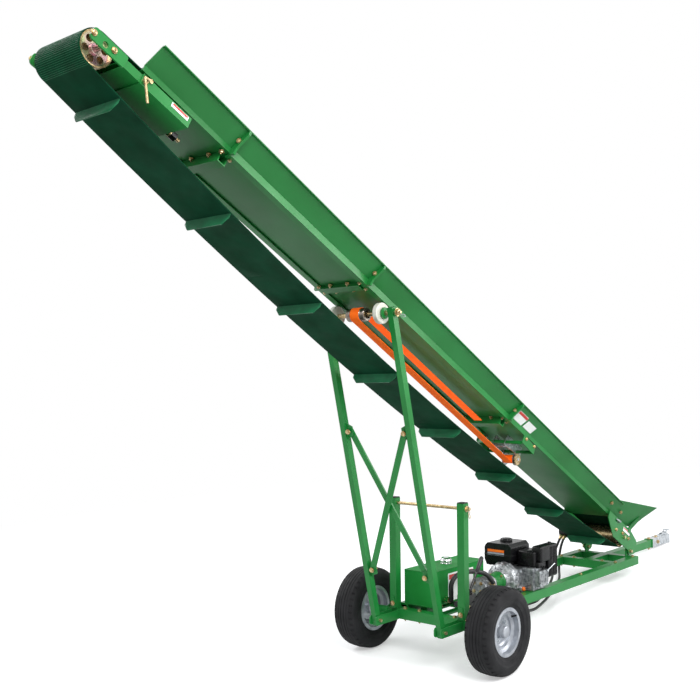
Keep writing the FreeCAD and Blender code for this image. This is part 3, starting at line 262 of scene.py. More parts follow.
# ---- Road wheels
# Small implement tyres on pressed 8 inch rims. The tread has plain ribs round it with notched
# shoulders; the rims are sprayed silver, with a rubber valve, four plated nuts and a tin dust cap.
TREAD_RADIUS, BEAD_RADIUS, GROOVE, GROOVE_DEPTH = 208, 103, 3.4, 3.4
TREAD_STEPS, NOTCH_EVERY, NOTCH_DEPTH, NOTCH_TAPER = 120, 3, 2.6, (0.8, 0.9, 0.8)
SHOULDER_IN, SHOULDER_OUT, SHOULDER_RADIUS = 46, 57, 196
# Natural rubber with carbon black: deep grey with a dusty bloom that scatters light.
tyre_rubber = surface("vulcanised tyre rubber", "tyre", "#131315", "#1E1E20", 60, 0.66,
                      bump=(2.2, 0.35), rough_drift=0.08, spec=0.25)
# Aluminium-pigment spray over a rolled steel pressing: soft metallic sparkle, thin dust.
silver_paint = surface("sprayed aluminium paint", "hub", "#9A9EA5", "#B6BAC0", 50, 0.36,
                       metal=0.6, bump=(4, 0.08), rough_drift=0.07)
# Bright zinc electroplate, clear passivated: cold, faintly blue, streaked by handling.
bright_zinc = surface("clear passivated zinc", "zinc_bright", "#B9BEC2", "#DADFE2", 22, 0.3,
                      metal=0.9, bump=(4, 0.03), rough_drift=0.05)


def coat_nodes(finish, *names):
    """Gives parts whose shape stays as it is their finish."""
    for name in names:
        nodes[name].data.materials.clear()
        nodes[name].data.materials.append(finish)


def ring(count, first=0, sweep=360):
    """Cosine and sine of evenly spaced turns, starting at the first, in degrees."""
    turns = [math.radians(first + sweep * step / count) for step in range(count)]
    return [(math.cos(turn), math.sin(turn)) for turn in turns]


def add_turned(bm, profile, spot, toward, steps=32, finish=0):
    """Spins an outline of (along, radius) points about an axis through a spot."""
    place = aimed(spot, toward)
    line = [bm.verts.new(place @ Vector((radius, 0, along))) for along, radius in profile]
    edges = [bm.edges.new(pair) for pair in zip(line, line[1:])]
    earlier = set(bm.verts) - set(line)
    bmesh.ops.spin(bm, geom=line + edges, cent=Vector(spot), dvec=(0, 0, 0), angle=math.tau,
                   axis=place.to_3x3() @ Vector((0, 0, 1)), steps=steps, use_merge=True,
                   use_duplicate=False)
    bmesh.ops.remove_doubles(bm, verts=bm.verts, dist=0.005)
    paint(set(bm.verts) - earlier, finish)


def tyre_outline():
    """One bead and sidewall, then a crown with three grooves, mirrored."""
    half = [(47, BEAD_RADIUS), (48, 112), (54, 122), (59, 131), (61.5, 132), (63, 136), (64, 146),
            (66.4, 154), (67.6, 156), (68, 162), (67.8, 170), (67, 178), (66, 184), (64.4, 187),
            (63.6, 190), (59, 197), (53, 201.5)]
    for middle in (41, 25, 9):
        crown = TREAD_RADIUS - 2.6 * (middle / 41) ** 2
        half += [(middle + GROOVE / 2 + 0.8, crown - 0.6), (middle + GROOVE / 2, crown - 1.6),
                 (middle + 1.2, TREAD_RADIUS - GROOVE_DEPTH),
                 (middle - 1.2, TREAD_RADIUS - GROOVE_DEPTH),
                 (middle - GROOVE / 2, crown - 1.6), (middle - GROOVE / 2 - 0.8, crown - 0.3)]
    mirrored = [(-across, radius) for across, radius in reversed(half)]
    return half + [(0, TREAD_RADIUS)] + mirrored + half[:1]


def is_notched(face):
    middle = face.calc_center_median()
    step = int(math.atan2(middle.z, middle.x) / math.tau * TREAD_STEPS % TREAD_STEPS)
    return (SHOULDER_IN < abs(middle.y) < SHOULDER_OUT and step % NOTCH_EVERY == 0
            and math.hypot(middle.x, middle.z) > SHOULDER_RADIUS)


for side, left in (("left", 1), ("right", -1)):
    body, outward = f"wheel_{side}", Vector((0, left, 0))
    place_of[body] = Matrix.Translation(pivot_of[f"wheel_{side}_spin"]) @ MM
    bm = bmesh.new()
    add_turned(bm, tyre_outline(), (0, 0, 0), (0, 1, 0), TREAD_STEPS)
    notched = [face for face in bm.faces if is_notched(face)]
    for face in bmesh.ops.extrude_discrete_faces(bm, faces=notched)["faces"]:
        middle = face.calc_center_median()
        inward = Vector((middle.x, 0, middle.z)).normalized() * -NOTCH_DEPTH
        bmesh.ops.translate(bm, verts=face.verts, vec=inward)
        bmesh.ops.scale(bm, verts=face.verts, vec=NOTCH_TAPER,
                        space=Matrix.Translation(-face.calc_center_median()))
    put(f"ribbed_tyre_{side}", bm, body, tyre_rubber, stands_for=[f"tyre_{side}"], crease=32)

    bm = bmesh.new()
    add_bar(bm, (58, 38 * left, 58), (0.3, left, 0.3), 5.2, 18, 14, 4.2)
    add_bar(bm, (63, 54 * left, 63), (0.3, left, 0.3), 4.6, 9, 14, 4.4)
    put(f"valve_stem_{side}", bm, body, tyre_rubber)
    bm = bmesh.new()
    for fore, rise in ring(4, 45):
        spot = Vector((50 * fore, 6.2 * left, 50 * rise))
        add_bar(bm, spot, outward, 12.5, 3, 18, 11)
        add_bar(bm, spot + outward * 3, outward, 10.5, 11, 6, 9.4)
        add_bar(bm, spot + outward * 14, outward, 5.5, 5, 12, 4.6)
    put(f"wheel_nuts_{side}", bm, body, bright_zinc)
    bm = bmesh.new()
    add_bar(bm, outward * 25, outward, 33.4, 4, 40, 33)
    add_turned(bm, [(46.6, 0), (46.6, 22), (45.4, 25.2), (42.6, 27.6), (29, 28.4), (29, 0)],
               (0, 0, 0), outward, 40)
    put(f"dust_cap_{side}", bm, body, silver_paint)
coat_nodes(silver_paint, "rim_left", "rim_right", "hub_left", "hub_right")

# ---- Trailer frame
# Square steel tube welded and bolted up, then powder coated green: axle beam, two side rails,
# crossmembers and the drawbar. Plated bolts and nuts clamp the brackets.
UP, DOWN, LEFT, RIGHT, FORE, AFT = (
    (0, 0, 1), (0, 0, -1), (0, 1, 0), (0, -1, 0), (1, 0, 0), (-1, 0, 0))
BEAM_TOP, BEAM_FOOT, RAIL_TOP, RAIL_FOOT = 233, 183, 248, 198
RAIL_MIDDLE, MEMBER_MIDDLE = 184, 1700
# Polyester powder coat baked on steel: an even leaf green, glossy with a fine orange peel.
green_coat = surface("green polyester powder coat", "green_paint", "#17722F", "#1E7D37", 220, 0.36,
                     bump=(5, 0.12), coat=0.08, spec=0.3, rough_drift=0.05)
coat_nodes(green_coat, "axle_beam", "stub_axles", "frame_rails", "crossmembers", "tongue",
           "boom_uprights", "mast_feet", "engine_bed", "cradle_posts")


def add_bolt(bm, spot, toward, across=17, nut=False):
    """A hexagon head or nut standing on its washer."""
    spot, way = Vector(spot), Vector(toward).normalized()
    add_bar(bm, spot - way * 0.5, way, across * 0.74, 2.6, 20)
    add_bar(bm, spot + way * 2, way, across * 0.577, across * 0.36, 6)
    add_bar(bm, spot + way * (2 + across * 0.36), way, across * 0.56, across * 0.08, 18,
            across * 0.42)
    if nut:
        add_bar(bm, spot + way * 2, way, across * 0.27, across * 0.74, 12, across * 0.22)


def put_bolts(name, places, body, across=17):
    """Plated fasteners: each place is a point, a direction and whether it is a nut."""
    bm = bmesh.new()
    for spot, way, nut in places:
        add_bolt(bm, spot, way, across, nut)
    put(name, bm, body, yellow_zinc)


def verts_in(geometry):
    return [item for item in geometry if isinstance(item, bmesh.types.BMVert)]


def add_plate(bm, corners, thick, toward, finish=0, round_off=0.0):
    """A flat plate from its outline: the outline is one face, thickened along a direction."""
    face = bm.faces.new([bm.verts.new(corner) for corner in corners])
    top = verts_in(bmesh.ops.extrude_face_region(bm, geom=[face])["geom"])
    bmesh.ops.translate(bm, verts=top, vec=Vector(toward).normalized() * thick)
    paint(top + list(face.verts), finish)
    if round_off:
        uprights = [edge for vert in top for edge in vert.link_edges
                    if edge.other_vert(vert) not in top]
        bmesh.ops.bevel(bm, geom=uprights, offset=round_off, segments=5, profile=0.5,
                        affect="EDGES", material=-1)


def add_box(bm, one, other, soften=0.0, soften_steps=2, finish=0):
    """A box between two opposite corners with its edges softened."""
    low, high = Vector(tuple(map(min, one, other))), Vector(tuple(map(max, one, other)))
    made = bmesh.ops.create_cube(bm, size=1)["verts"]
    bmesh.ops.scale(bm, verts=made, vec=high - low)
    bmesh.ops.translate(bm, verts=made, vec=(low + high) / 2)
    paint(made, finish)
    if soften:
        edges = list(dict.fromkeys(edge for vert in made for edge in vert.link_edges))
        bmesh.ops.bevel(bm, geom=edges, offset=soften, segments=soften_steps, profile=0.5,
                        affect="EDGES", material=-1)


frame_bolts = []
for left in (1, -1):
    for spread in (62, 150):
        frame_bolts += [((0, spread * left, BEAM_TOP), UP, False),
                        ((0, spread * left, BEAM_FOOT), DOWN, True)]
    for reach, spread in ((62, RAIL_MIDDLE), (560, RAIL_MIDDLE), (1240, RAIL_MIDDLE),
                          (MEMBER_MIDDLE, RAIL_MIDDLE), (1950, RAIL_MIDDLE), (MEMBER_MIDDLE, 96)):
        frame_bolts += [((reach, spread * left, RAIL_TOP), UP, False),
                        ((reach, spread * left, RAIL_FOOT), DOWN, True)]
    frame_bolts += [((reach, 224 * left, BEAM_TOP), UP, False) for reach in (-14, 14)]
put_bolts("frame_bolts", frame_bolts, "chassis", 15)

bm = bmesh.new()
for left in (1, -1):
    inner = 159.2 * left
    for reach, run in ((45, 46), (1931, -46)):
        add_plate(bm, [(reach, inner, RAIL_FOOT + 4), (reach, inner, RAIL_TOP - 4),
                       (reach + run, inner, RAIL_TOP - 4)], 4, (0, -left, 0))
    add_box(bm, (1979.8, (RAIL_MIDDLE - 25) * left, RAIL_FOOT),
            (1983, (RAIL_MIDDLE + 25) * left, RAIL_TOP), 1.2)
    add_plate(bm, [(27, 165 * left, 248.4), (27, 204 * left, 248.4), (92, 204 * left, 248.4),
                   (92, 165 * left, 248.4)], 4, UP, 0, 6)
put("frame_gussets", bm, "chassis", green_coat)

# ---- Drawbar coupler
# A pressed zinc ball coupler slides over the drawbar end and is held by a cross bolt and an
# upright bolt. Its spring latch lever folds over the ball cup.
TONGUE_END, TONGUE_MIDDLE, TONGUE_TOP, TONGUE_FOOT = 2690, 223, 253, 193
coat_nodes(bright_zinc, "hitch_coupler")


def on_tongue(along, across, up):
    """A point measured from the middle of the drawbar's end."""
    return (TONGUE_END + along, across, TONGUE_MIDDLE + up)


bm = bmesh.new()
add_box(bm, on_tongue(-66, -30.5, -30), on_tongue(-56, 30.5, 30), 1.5, finish=1)
spine = [(96, 29), (124, 37), (170, 44), (214, 50), (236, 62), (250, 60), (252, 54), (240, 52),
         (220, 40), (196, 31), (150, 30), (110, 24)]
for across in (-11, 8):
    add_plate(bm, [on_tongue(along, across, up) for along, up in spine], 3, LEFT)
add_box(bm, on_tongue(150, -11, 42), on_tongue(238, 11, 46), 1.2)
add_bar(bm, on_tongue(126, -17, 31), LEFT, 5, 34, 14)
add_bar(bm, on_tongue(246, -22, 58), LEFT, 5.5, 44, 16)
for rib in (-20, 16):
    add_box(bm, on_tongue(20, rib, 28.5), on_tongue(150, rib + 4, 31.5), 1)
put("coupler_latch", bm, "chassis", bright_zinc, green_coat)
put_bolts("coupler_bolts", [
    ((TONGUE_END - 61, 0, TONGUE_TOP), UP, False), ((TONGUE_END - 61, 0, TONGUE_FOOT), DOWN, True),
    (on_tongue(30, -29, 0), RIGHT, False), (on_tongue(30, 29, 0), LEFT, True),
    (on_tongue(62, 0, 29), UP, False)], "chassis", 19)

# ---- Cradle posts
# Two tall square posts stand on the axle and carry the rest pin that the lowered boom lies on.
# The pin is plated bar, kept by a spring clip at each end; plastic caps close the tubes.
POST_MIDDLE, POST_AT, POST_TOP, POST_HALF, PIN_LEVEL = 206, -7, 791, 19.5, 766
# Injection-moulded polyethylene: black, waxy and slightly worn.
black_polythene = surface("moulded black polyethylene", "black_plastic", "#121213", "#1D1D1F", 30,
                          0.45, bump=(5, 0.1), rough_drift=0.06)
coat_nodes(yellow_zinc, "cradle_pin", "mast_foot_pins", "boom_pivot_pins")


def add_spring_clip(bm, spot, along, hang, wire=1.7, long=46):
    """A bent-wire R clip through a pin: one straight leg, one waved leg and a round eye."""
    way, drop = Vector(along).normalized(), Vector(hang).normalized()
    wave = [(-0.28, 0), (0, 0), (0.3, 0), (0.62, 0), (0.82, 0.06), (0.98, 0.15), (1.0, 0.3),
            (0.86, 0.37), (0.72, 0.3), (0.55, 0.2), (0.36, 0.27), (0.18, 0.17), (0.0, 0.26)]
    points = [Vector(spot) + (drop * reach + way * out) * long for reach, out in wave]
    for start, end in zip(points, points[1:]):
        add_bar(bm, start, end - start, wire, (end - start).length + wire * 0.5, 8)


caps, clips, feet = bmesh.new(), bmesh.new(), bmesh.new()
for left in (1, -1):
    add_box(caps, (POST_AT - POST_HALF, (POST_MIDDLE - POST_HALF) * left, POST_TOP),
            (POST_AT + POST_HALF, (POST_MIDDLE + POST_HALF) * left, POST_TOP + 5), 2.4, 3)
    add_spring_clip(clips, (POST_AT, 240 * left, PIN_LEVEL), FORE, DOWN)
    add_bar(clips, (POST_AT, 227 * left, PIN_LEVEL), (0, left, 0), 15, 3, 24)
    for fore in (1, -1):
        add_plate(feet, [(POST_AT + 20.2 * fore, (POST_MIDDLE + spread) * left, level)
                         for spread, level in ((17, 234), (-17, 234), (-9, 292), (9, 292))],
                  5, (fore, 0, 0))
put("post_caps", caps, "chassis", black_polythene)
put("pin_clips", clips, "chassis", yellow_zinc)
put("post_feet", feet, "chassis", green_coat)
put_bolts("post_bolts", [((POST_AT + 25 * fore, POST_MIDDLE * left, 258), (fore, 0, 0), fore > 0)
                         for left in (1, -1) for fore in (1, -1)], "chassis")

# ---- Oil tank
# A folded and welded steel oil tank, powder coated like the frame. A chromed filler and breather
# cap screws on its top, and a blank vinyl plate with a red band is stuck on its right side.
TANK_BACK, TANK_FRONT, TANK_NEAR, TANK_FAR, TANK_TOP = 30, 505, 8, 176, 425
CAP_AT, CAP_MIDDLE, WELD_RADIUS = 276.5, 92, 2.2
# Low-gloss powder coat: the frame's green with less shine, so the wide flat top mirrors less.
tank_coat = surface("low-gloss powder coat", "green_paint", "#19772F", "#21823A", 160, 0.55,
                    bump=(5, 0.12), spec=0.1, rough_drift=0.06)
# Cast vinyl film with a gloss overlaminate: clean white, slightly shiny, edges barely raised.
white_vinyl = surface("gloss white vinyl film", "green_paint", "#E2E4E2", "#EDEEEC", 60, 0.28)
# The same film printed a signal red.
red_vinyl = surface("gloss red vinyl film", "green_paint", "#BE2A20", "#CC3327", 40, 0.28)
# Nickel-chrome plate over pressed brass: nearly a mirror, with faint hazing.
chrome = surface("bright chrome plate", "zinc_bright", "#D8DADC", "#F0F1F2", 18, 0.12, metal=1.0,
                 rough_drift=0.05)
coat_nodes(tank_coat, "hydraulic_tank")


def add_sticker(bm, low, high, thick, toward, finish=0, round_off=0.0):
    """A flat sticker upright between two corners, thickened outwards."""
    add_plate(bm, [low, (high[0], high[1], low[2]), high, (low[0], low[1], high[2])], thick,
              toward, finish, round_off)


bm = bmesh.new()
add_turned(bm, [(0, 0), (0, 29), (3, 29), (4, 25), (8, 24.6), (9, 27.4), (11, 28), (17, 28),
                (19, 26.4), (27, 25), (31, 21), (34, 12), (35, 0)],
           (CAP_AT, CAP_MIDDLE, TANK_TOP), UP, 40)
for along, across in ring(6):
    add_bar(bm, (CAP_AT + 25.6 * along, CAP_MIDDLE + 25.6 * across, TANK_TOP + 11), UP, 4.2, 13,
            10, 3.4)
put("breather_cap", bm, "chassis", chrome)
bm = bmesh.new()
for high in (252, TANK_TOP - 2):
    for side in (TANK_NEAR + 0.6, TANK_FAR - 0.6):
        add_bar(bm, (TANK_BACK + 2, side, high), FORE, WELD_RADIUS, 471, 8)
    for end in (TANK_BACK + 0.6, TANK_FRONT - 0.6):
        add_bar(bm, (end, TANK_NEAR + 2, high), LEFT, WELD_RADIUS, 164, 8)
put("tank_seams", bm, "chassis", green_coat)
bm = bmesh.new()
plate, band = TANK_NEAR - 0.3, TANK_NEAR - 1.1
add_sticker(bm, (173, plate, 256), (404, plate, 398), 0.7, RIGHT, 0, 5)
add_sticker(bm, (181, band, 366), (396, band, 390), 0.4, RIGHT, 1)
put("tank_plate", bm, "chassis", white_vinyl, red_vinyl)
bm = bmesh.new()
for along in (90, 445):
    add_bar(bm, (along, TANK_NEAR - 13, 243), UP, 5, 14, 12)
    add_bolt(bm, (along, TANK_NEAR - 13, 248.5), UP, 15)
add_bar(bm, (134, -4, 274.5), RIGHT, 16.5, 9, 6)
add_bar(bm, (134, -15, 274.5), RIGHT, 14, 14, 24)
add_bar(bm, (62, TANK_NEAR, 262), RIGHT, 11, 8, 6)
put("tank_fittings", bm, "chassis", yellow_zinc)

# ---- Control valve, pump and suction hose
# A black enamelled spool valve works the lift and the belt through one lever. The aluminium gear
# pump is flanged to the engine by a green bell housing, and its plated unions are screwed in.
PUMP_AXIS = Vector((0, -52, 306))
PUMP_FACE, PUMP_BACK, BELL_FACE = 358, 470, 548
LEVER_FOOT, LEVER_LEAN = Vector((158, -126, 310)), math.radians(36)
# Gravity-cast aluminium, shot blasted: pale matt grey with a fine pitted skin.
cast_aluminium = surface("shot-blasted cast aluminium", "engine_metal", "#74777A", "#BCBFC1", 16,
                         0.4, metal=0.85, bump=(4, 0.35), detail=4, rough_drift=0.1)
# Black gloss enamel brushed on castings: deep black that shows soft highlights.
black_enamel = surface("black gloss enamel", "engine_metal", "#0C0C0D", "#151516", 40, 0.3,
                       bump=(3, 0.15), coat=0.15, spec=0.3, rough_drift=0.08)
# Blue paper tally, varnished: a small flat patch of even blue.
blue_tally = surface("varnished blue paper", "engine_metal", "#1D5A9C", "#2567AB", 20, 0.4)
coat_nodes(cast_aluminium, "hydraulic_pump")
coat_nodes(hose_rubber, "suction_hose")
coat_nodes(black_enamel, "control_valve")


def on_pump(along, radius=0, across=0, rise=0):
    """A point along the line of pump and crankshaft, and out from it."""
    return PUMP_AXIS + Vector((along, radius * across, radius * rise))


bm = bmesh.new()
add_turned(bm, [(0, 20), (0, 46), (5, 47), (9, 44), (60, 44), (66, 51), (78, 52), (78, 20),
                (0, 20)], on_pump(PUMP_BACK), FORE, 48)
for across, rise in ring(6, 30):
    add_bar(bm, on_pump(PUMP_BACK + 8, 42, across, rise), FORE, 4, 62, 8, 5)
put("bell_turned", bm, "chassis", green_coat, stands_for=["bell_housing"])
bm = bmesh.new()
add_turned(bm, [(0, 30), (0, 54), (6, 60), (20, 66), (30, 84), (60, 92), (74, 92), (74, 30),
                (0, 30)], on_pump(BELL_FACE), FORE, 56)
for rib, (across, rise) in enumerate(ring(16)):
    add_bar(bm, on_pump(BELL_FACE + 4, 58, across, rise), (42, 30 * across, 30 * rise), 3.2, 52,
            8, 4.2)
    if rib % 2:
        add_bar(bm, on_pump(BELL_FACE + 52, 88, across, rise), FORE, 8, 20, 12)
put("crank_cover", bm, "chassis", cast_aluminium)
bm = bmesh.new()
for along in (20, 44, 68, 92):
    add_turned(bm, [(0, 44), (0, 47.6), (4, 47.6), (4, 44)], on_pump(PUMP_FACE + along), FORE, 36)
add_bar(bm, on_pump(PUMP_FACE - 5), FORE, 40, 6, 36)
put("pump_ribs", bm, "chassis", cast_aluminium)
bm = bmesh.new()
for across, rise in ring(4, 45):
    add_bolt(bm, on_pump(PUMP_FACE - 5, 30, across, rise), AFT, 13)
    add_bolt(bm, on_pump(BELL_FACE - 15, 47, across, rise), AFT, 10)
    add_bolt(bm, on_pump(PUMP_BACK + 2, 38, across, rise), AFT, 11)
add_bar(bm, (412, -96, 321), (0, -1, 0.3), 14, 14, 6)
add_bar(bm, (412, -108, 325), (0, -1, 0.3), 11.5, 8, 20)
add_bar(bm, (404, -52, 262), DOWN, 13, 12, 6)
add_bar(bm, (184.5, -135, 290), UP, 11, 8, 6)
add_bar(bm, (120, -150, 262), RIGHT, 9, 9, 6)
put("hydraulic_unions", bm, "chassis", yellow_zinc)
bm = bmesh.new()
add_sticker(bm, (398, -97.4, 292), (430, -97.4, 314), 0.7, RIGHT)
put("pump_tally", bm, "chassis", blue_tally)
bm = bmesh.new()
lean = Vector((math.sin(LEVER_LEAN), 0, math.cos(LEVER_LEAN)))
add_turned(bm, [(0, 8), (4, 13), (8, 11), (12, 14), (16, 10), (20, 12), (26, 7), (26, 0)],
           LEVER_FOOT + lean * 2, lean, 24)
add_turned(bm, [(130, 6.6), (134, 9.5), (160, 10.4), (190, 11.6), (206, 11.4), (214, 7.4),
                (216, 0)], LEVER_FOOT, lean, 24)
add_bar(bm, (100, -126, 284), AFT, 9, 6, 20)
put("valve_lever_grip", bm, "chassis", black_polythene)

# ---- Engine
# A small air-cooled single-cylinder engine lies with its finned barrel to the right. Crankcase,
# fins and rocker cover are bare castings, and the tank, airbox and shroud are black.
FUEL_BACK, FUEL_TOP, FILLER_AT, FILLER_MIDDLE = 636, 490, 736, 6
RECOIL = Vector((897, -52, 314))
SILENCER_AT, SILENCER_MIDDLE, SILENCER_LEVEL = 742, 118, 374
# Gloss black moulding and stoved tank enamel: deep, wet looking, with soft edges.
gloss_black = surface("stoved black enamel", "black_plastic", "#070708", "#0F0F11", 50, 0.3,
                      bump=(7, 0.2), coat=0.12, spec=0.25, rough_drift=0.06)
# Orange gloss film cut in a stripe.
orange_vinyl = surface("gloss orange vinyl film", "black_plastic", "#E86A1A", "#F0761F", 30, 0.3)
# Grey gloss film with nothing printed on it.
grey_vinyl = surface("gloss grey vinyl film", "black_plastic", "#8B9198", "#A2A7AD", 12, 0.3)
coat_nodes(cast_aluminium, "engine")
coat_nodes(gloss_black, "engine_fuel_tank")
bm = bmesh.new()
for level in range(254, 368, 9):
    add_box(bm, (664, -192, level), (800, -141, level + 2.6), 0.6, 1)
for along in range(690, 790, 20):
    add_box(bm, (along, -232.5, 281), (along + 4, -228, 347), 1.2, 1)
add_bar(bm, (640, -140, 262), RIGHT, 17, 12, 24)
put("engine_castings", bm, "chassis", cast_aluminium)
bm = bmesh.new()
for places, face, levels, across in (((693, 771), -229, (281, 347), 9),
                                     ((640, 816), -141, (220, 352), 10)):
    for along in places:
        for level in levels:
            add_bolt(bm, (along, face, level), RIGHT, across)
for across, rise in ring(6, 30):
    add_bolt(bm, on_pump(604.5, 76, across, rise), AFT, 10)
add_bar(bm, (700, -160, 372), (1, 0, 0.1), 1.6, 96, 8)
add_bar(bm, (716, -152, 374), (1, 0, 0.05), 1.3, 70, 8)
put("engine_bolts", bm, "chassis", bright_zinc)
bm = bmesh.new()
add_turned(bm, [(0, 0), (0, 30), (4, 33), (12, 33), (17, 30), (19, 26), (19, 0)],
           (FILLER_AT, FILLER_MIDDLE, FUEL_TOP - 2), UP, 36)
for along, across in ring(10):
    add_bar(bm, (FILLER_AT + 31.5 * along, FILLER_MIDDLE + 31.5 * across, FUEL_TOP), UP, 3, 13,
            8, 2)
add_box(bm, (634, -86, 425), (830, 86, 431), 2.6, 3)
add_turned(bm, [(0, 86), (4, 92), (10, 94), (10, 74), (3, 70), (0, 70)], RECOIL, FORE, 48)
for across, rise in ring(16):
    way = Vector((0, across, rise))
    add_bar(bm, RECOIL + way * 26 + Vector((2, 0, 0)), way, 2.4, 46, 6)
add_turned(bm, [(0, 0), (0, 24), (7, 22), (9, 0)], RECOIL, FORE, 32)
add_bar(bm, (868, 30, 382), (0, 1, 0.3), 8, 34, 16, 6)
add_bar(bm, (740, -216, 356), (0, -0.4, 1), 7, 22, 14, 5)
put("engine_black_parts", bm, "chassis", gloss_black)
bm = bmesh.new()
add_turned(bm, [(0, 0), (0, 9), (3, 11), (9, 11), (12, 8), (12, 0)], (640, -152, 262), RIGHT,
           24)
put("oil_filler_cap", bm, "chassis", orange_vinyl)
bm = bmesh.new()
back = FUEL_BACK - 0.3
add_sticker(bm, (back, 64, 442), (back, -40, 456), 0.6, AFT, 0)
add_sticker(bm, (back, 64, 424), (back, -40, 440), 0.6, AFT, 1)
put("fuel_tank_plate", bm, "chassis", orange_vinyl, grey_vinyl)
bm = bmesh.new()
add_box(bm, (716, -223, 396), (898, -161, 482), 12, 4)
add_box(bm, (800, -223, 306), (896, -163, 412), 9, 4)
for along in range(812, 897, 17):
    add_box(bm, (along, -225.6, 316), (along + 5, -221, 470), 1.6, 2)
for side in range(-212, -175, 12):
    add_box(bm, (896, side, 318), (900, side + 5, 468), 1.4, 2)
add_bar(bm, (858, -192, 478), UP, 12, 12, 24, 9)
put("airbox", bm, "chassis", gloss_black, stands_for=["air_cleaner"])
bm = bmesh.new()
silencer_can = [(0, 0), (0, 24), (4, 29), (76, 29), (80, 24), (80, 0)]
add_turned(bm, silencer_can, (SILENCER_AT, SILENCER_MIDDLE, SILENCER_LEVEL), FORE, 40)
for along in range(SILENCER_AT + 6, SILENCER_AT + 78, 12):
    add_turned(bm, [(0, 28), (0, 31), (5, 31), (5, 28)], (along, SILENCER_MIDDLE, SILENCER_LEVEL),
               FORE, 40)
add_bar(bm, (SILENCER_AT + 73, SILENCER_MIDDLE, SILENCER_LEVEL), FORE, 10, 24, 20)
add_bar(bm, (780, 96, 352), DOWN, 11, 60, 20)
put("silencer", bm, "chassis", black_enamel, stands_for=["muffler"])
bm = bmesh.new()
add_plate(bm, [(722, -176, 212), (838, -176, 212), (838, -176, 218), (800, -176, 246),
               (760, -176, 246), (722, -176, 218)], 3, RIGHT)
add_bar(bm, (730, -184, 236), (1, 0, -0.1), 3, 108, 10)
put("engine_stay", bm, "chassis", yellow_zinc)
put_bolts("engine_feet", [((along, side, 234), UP, True) for along in (652, 804)
                          for side in (-120, 20)], "chassis", 13)
bm = bmesh.new()
add_box(bm, (690, -196, 372), (812, -86, 456), 12, 4)
add_box(bm, (704, -214, 366), (782, -150, 398), 6, 3)
add_box(bm, (816, -158, 420), (850, -100, 452), 8, 3)
put("cooling_shroud", bm, "chassis", gloss_black)
bm = bmesh.new()
for along in (700, 716):
    add_bar(bm, (along, -200, 262), UP, 3.2, 104, 12)
for coil in range(14):
    add_bar(bm, (726, -204 + 3 * math.cos(coil * 2.1), 300 + 3.4 * coil), (0, 0.3, 1), 1.4, 4, 8)
add_bar(bm, (752, -238, 352), (1, 0, 0.35), 2.6, 84, 10)
put("engine_links", bm, "chassis", bright_zinc)

# ---- Trough
# Four folded sheet-steel trough lengths bolt together through pressed joint frames under the deck.
# The flared walls and their rolled lips are coated inside and out. Plated bolts hold every joint.
TROUGH_JOINTS = (1703, 3016, 3909)
# The outer face of a wall starts this far out and up, and leans out by this sine and cosine.
WALL_OUT, WALL_UP, LEAN_OUT, LEAN_UP = 140, 126, 0.695, 0.719
# Powder coat on wide sheet: even, with long shallow waves from rolling and folding.
sheet_coat = surface("powder coat on sheet steel", "green_paint", "#196C2E", "#217A39", 420, 0.4,
                     bump=(90, 0.5), coat=0.06, spec=0.28, rough_drift=0.06)
coat_nodes(sheet_coat, "trough_tail", "trough_lower", "trough_upper", "trough_head", "hopper")
coat_nodes(green_coat, "joint_frame_lower", "joint_frame_middle", "joint_frame_upper",
           "roller_tracks", "tail_plates", "take_up_sleeve", "take_up_slides")


def on_wall(along, up, proud, side):
    """A point on the outer face of a trough wall: along the boom, up the wall and out from it."""
    return Vector((along, side * (WALL_OUT + LEAN_OUT * up + LEAN_UP * proud),
                   WALL_UP + LEAN_UP * up - LEAN_OUT * proud))


def wall_way(side):
    return Vector((0, LEAN_UP * side, -LEAN_OUT))


bm = bmesh.new()
for side in (1, -1):
    for begin, end, low, high, finish, proud in (
            (1574, 1670, 2, 60, 0, 0.4), (1576, 1668, 43, 58, 1, 1.1),
            (1468, 1558, 5, 50, 0, 0.4)):
        add_plate(bm, [on_wall(along, up, proud, side) for along, up in (
            (begin, low), (end, low), (end, high), (begin, high))], 0.6, wall_way(side), finish)
put("trough_labels", bm, "boom", white_vinyl, red_vinyl)

joint_bolts = []
for reach in TROUGH_JOINTS:
    for side in (1, -1):
        joint_bolts += [((reach + along, spread * side, 99.6), DOWN, True)
                        for along in (-24, 24) for spread in (120, 50)]
        joint_bolts += [(on_wall(reach + 6, 40, 4.4, side), wall_way(side), True)]
put_bolts("joint_bolts", joint_bolts, "boom", 15)
put_bolts("hopper_bolts", [(on_wall(along, up, 3, side), wall_way(side), True) for side in (1, -1)
                           for along, up in ((428, 48), (281, 45))], "boom", 15)

# ---- Belt
# A rubbery PVC belt with welded cross cleats runs up the deck, over the head drum and back
# below, where it hangs in a shallow sag. Its edges are cut square.
CLEAT_HALF, TAIL_REACH, HEAD_REACH = 127, 130, 4523
# Lowered, the hanging run is drawn up over the cradle pin and under the rollers. It is cut at both
# into three lengths. Points are reach and level.
AT_TAIL, AT_PIN, AT_ROLLERS, AT_HEAD = (
    (TAIL_REACH, -20), (2041, -26), (3430, -44), (HEAD_REACH, -20))
hang_lines = {"tail": (AT_TAIL, AT_PIN), "middle": (AT_PIN, AT_ROLLERS),
              "head": (AT_ROLLERS, AT_HEAD)}
# Embossed PVC cover on a woven carcass: very dark green, dull, with a fine cross rib.
belt_cover = surface("ribbed PVC belt cover", "belt", "#05301C", "#083B25", 120, 0.7,
                     bump=(3, 0.2), spec=0.06, rough_drift=0.06)
# The same PVC moulded smooth for the cleats: a little brighter and glossier.
cleat_pvc = surface("moulded green PVC", "belt", "#0B5633", "#11653E", 60, 0.45, bump=(6, 0.15),
                    spec=0.25)


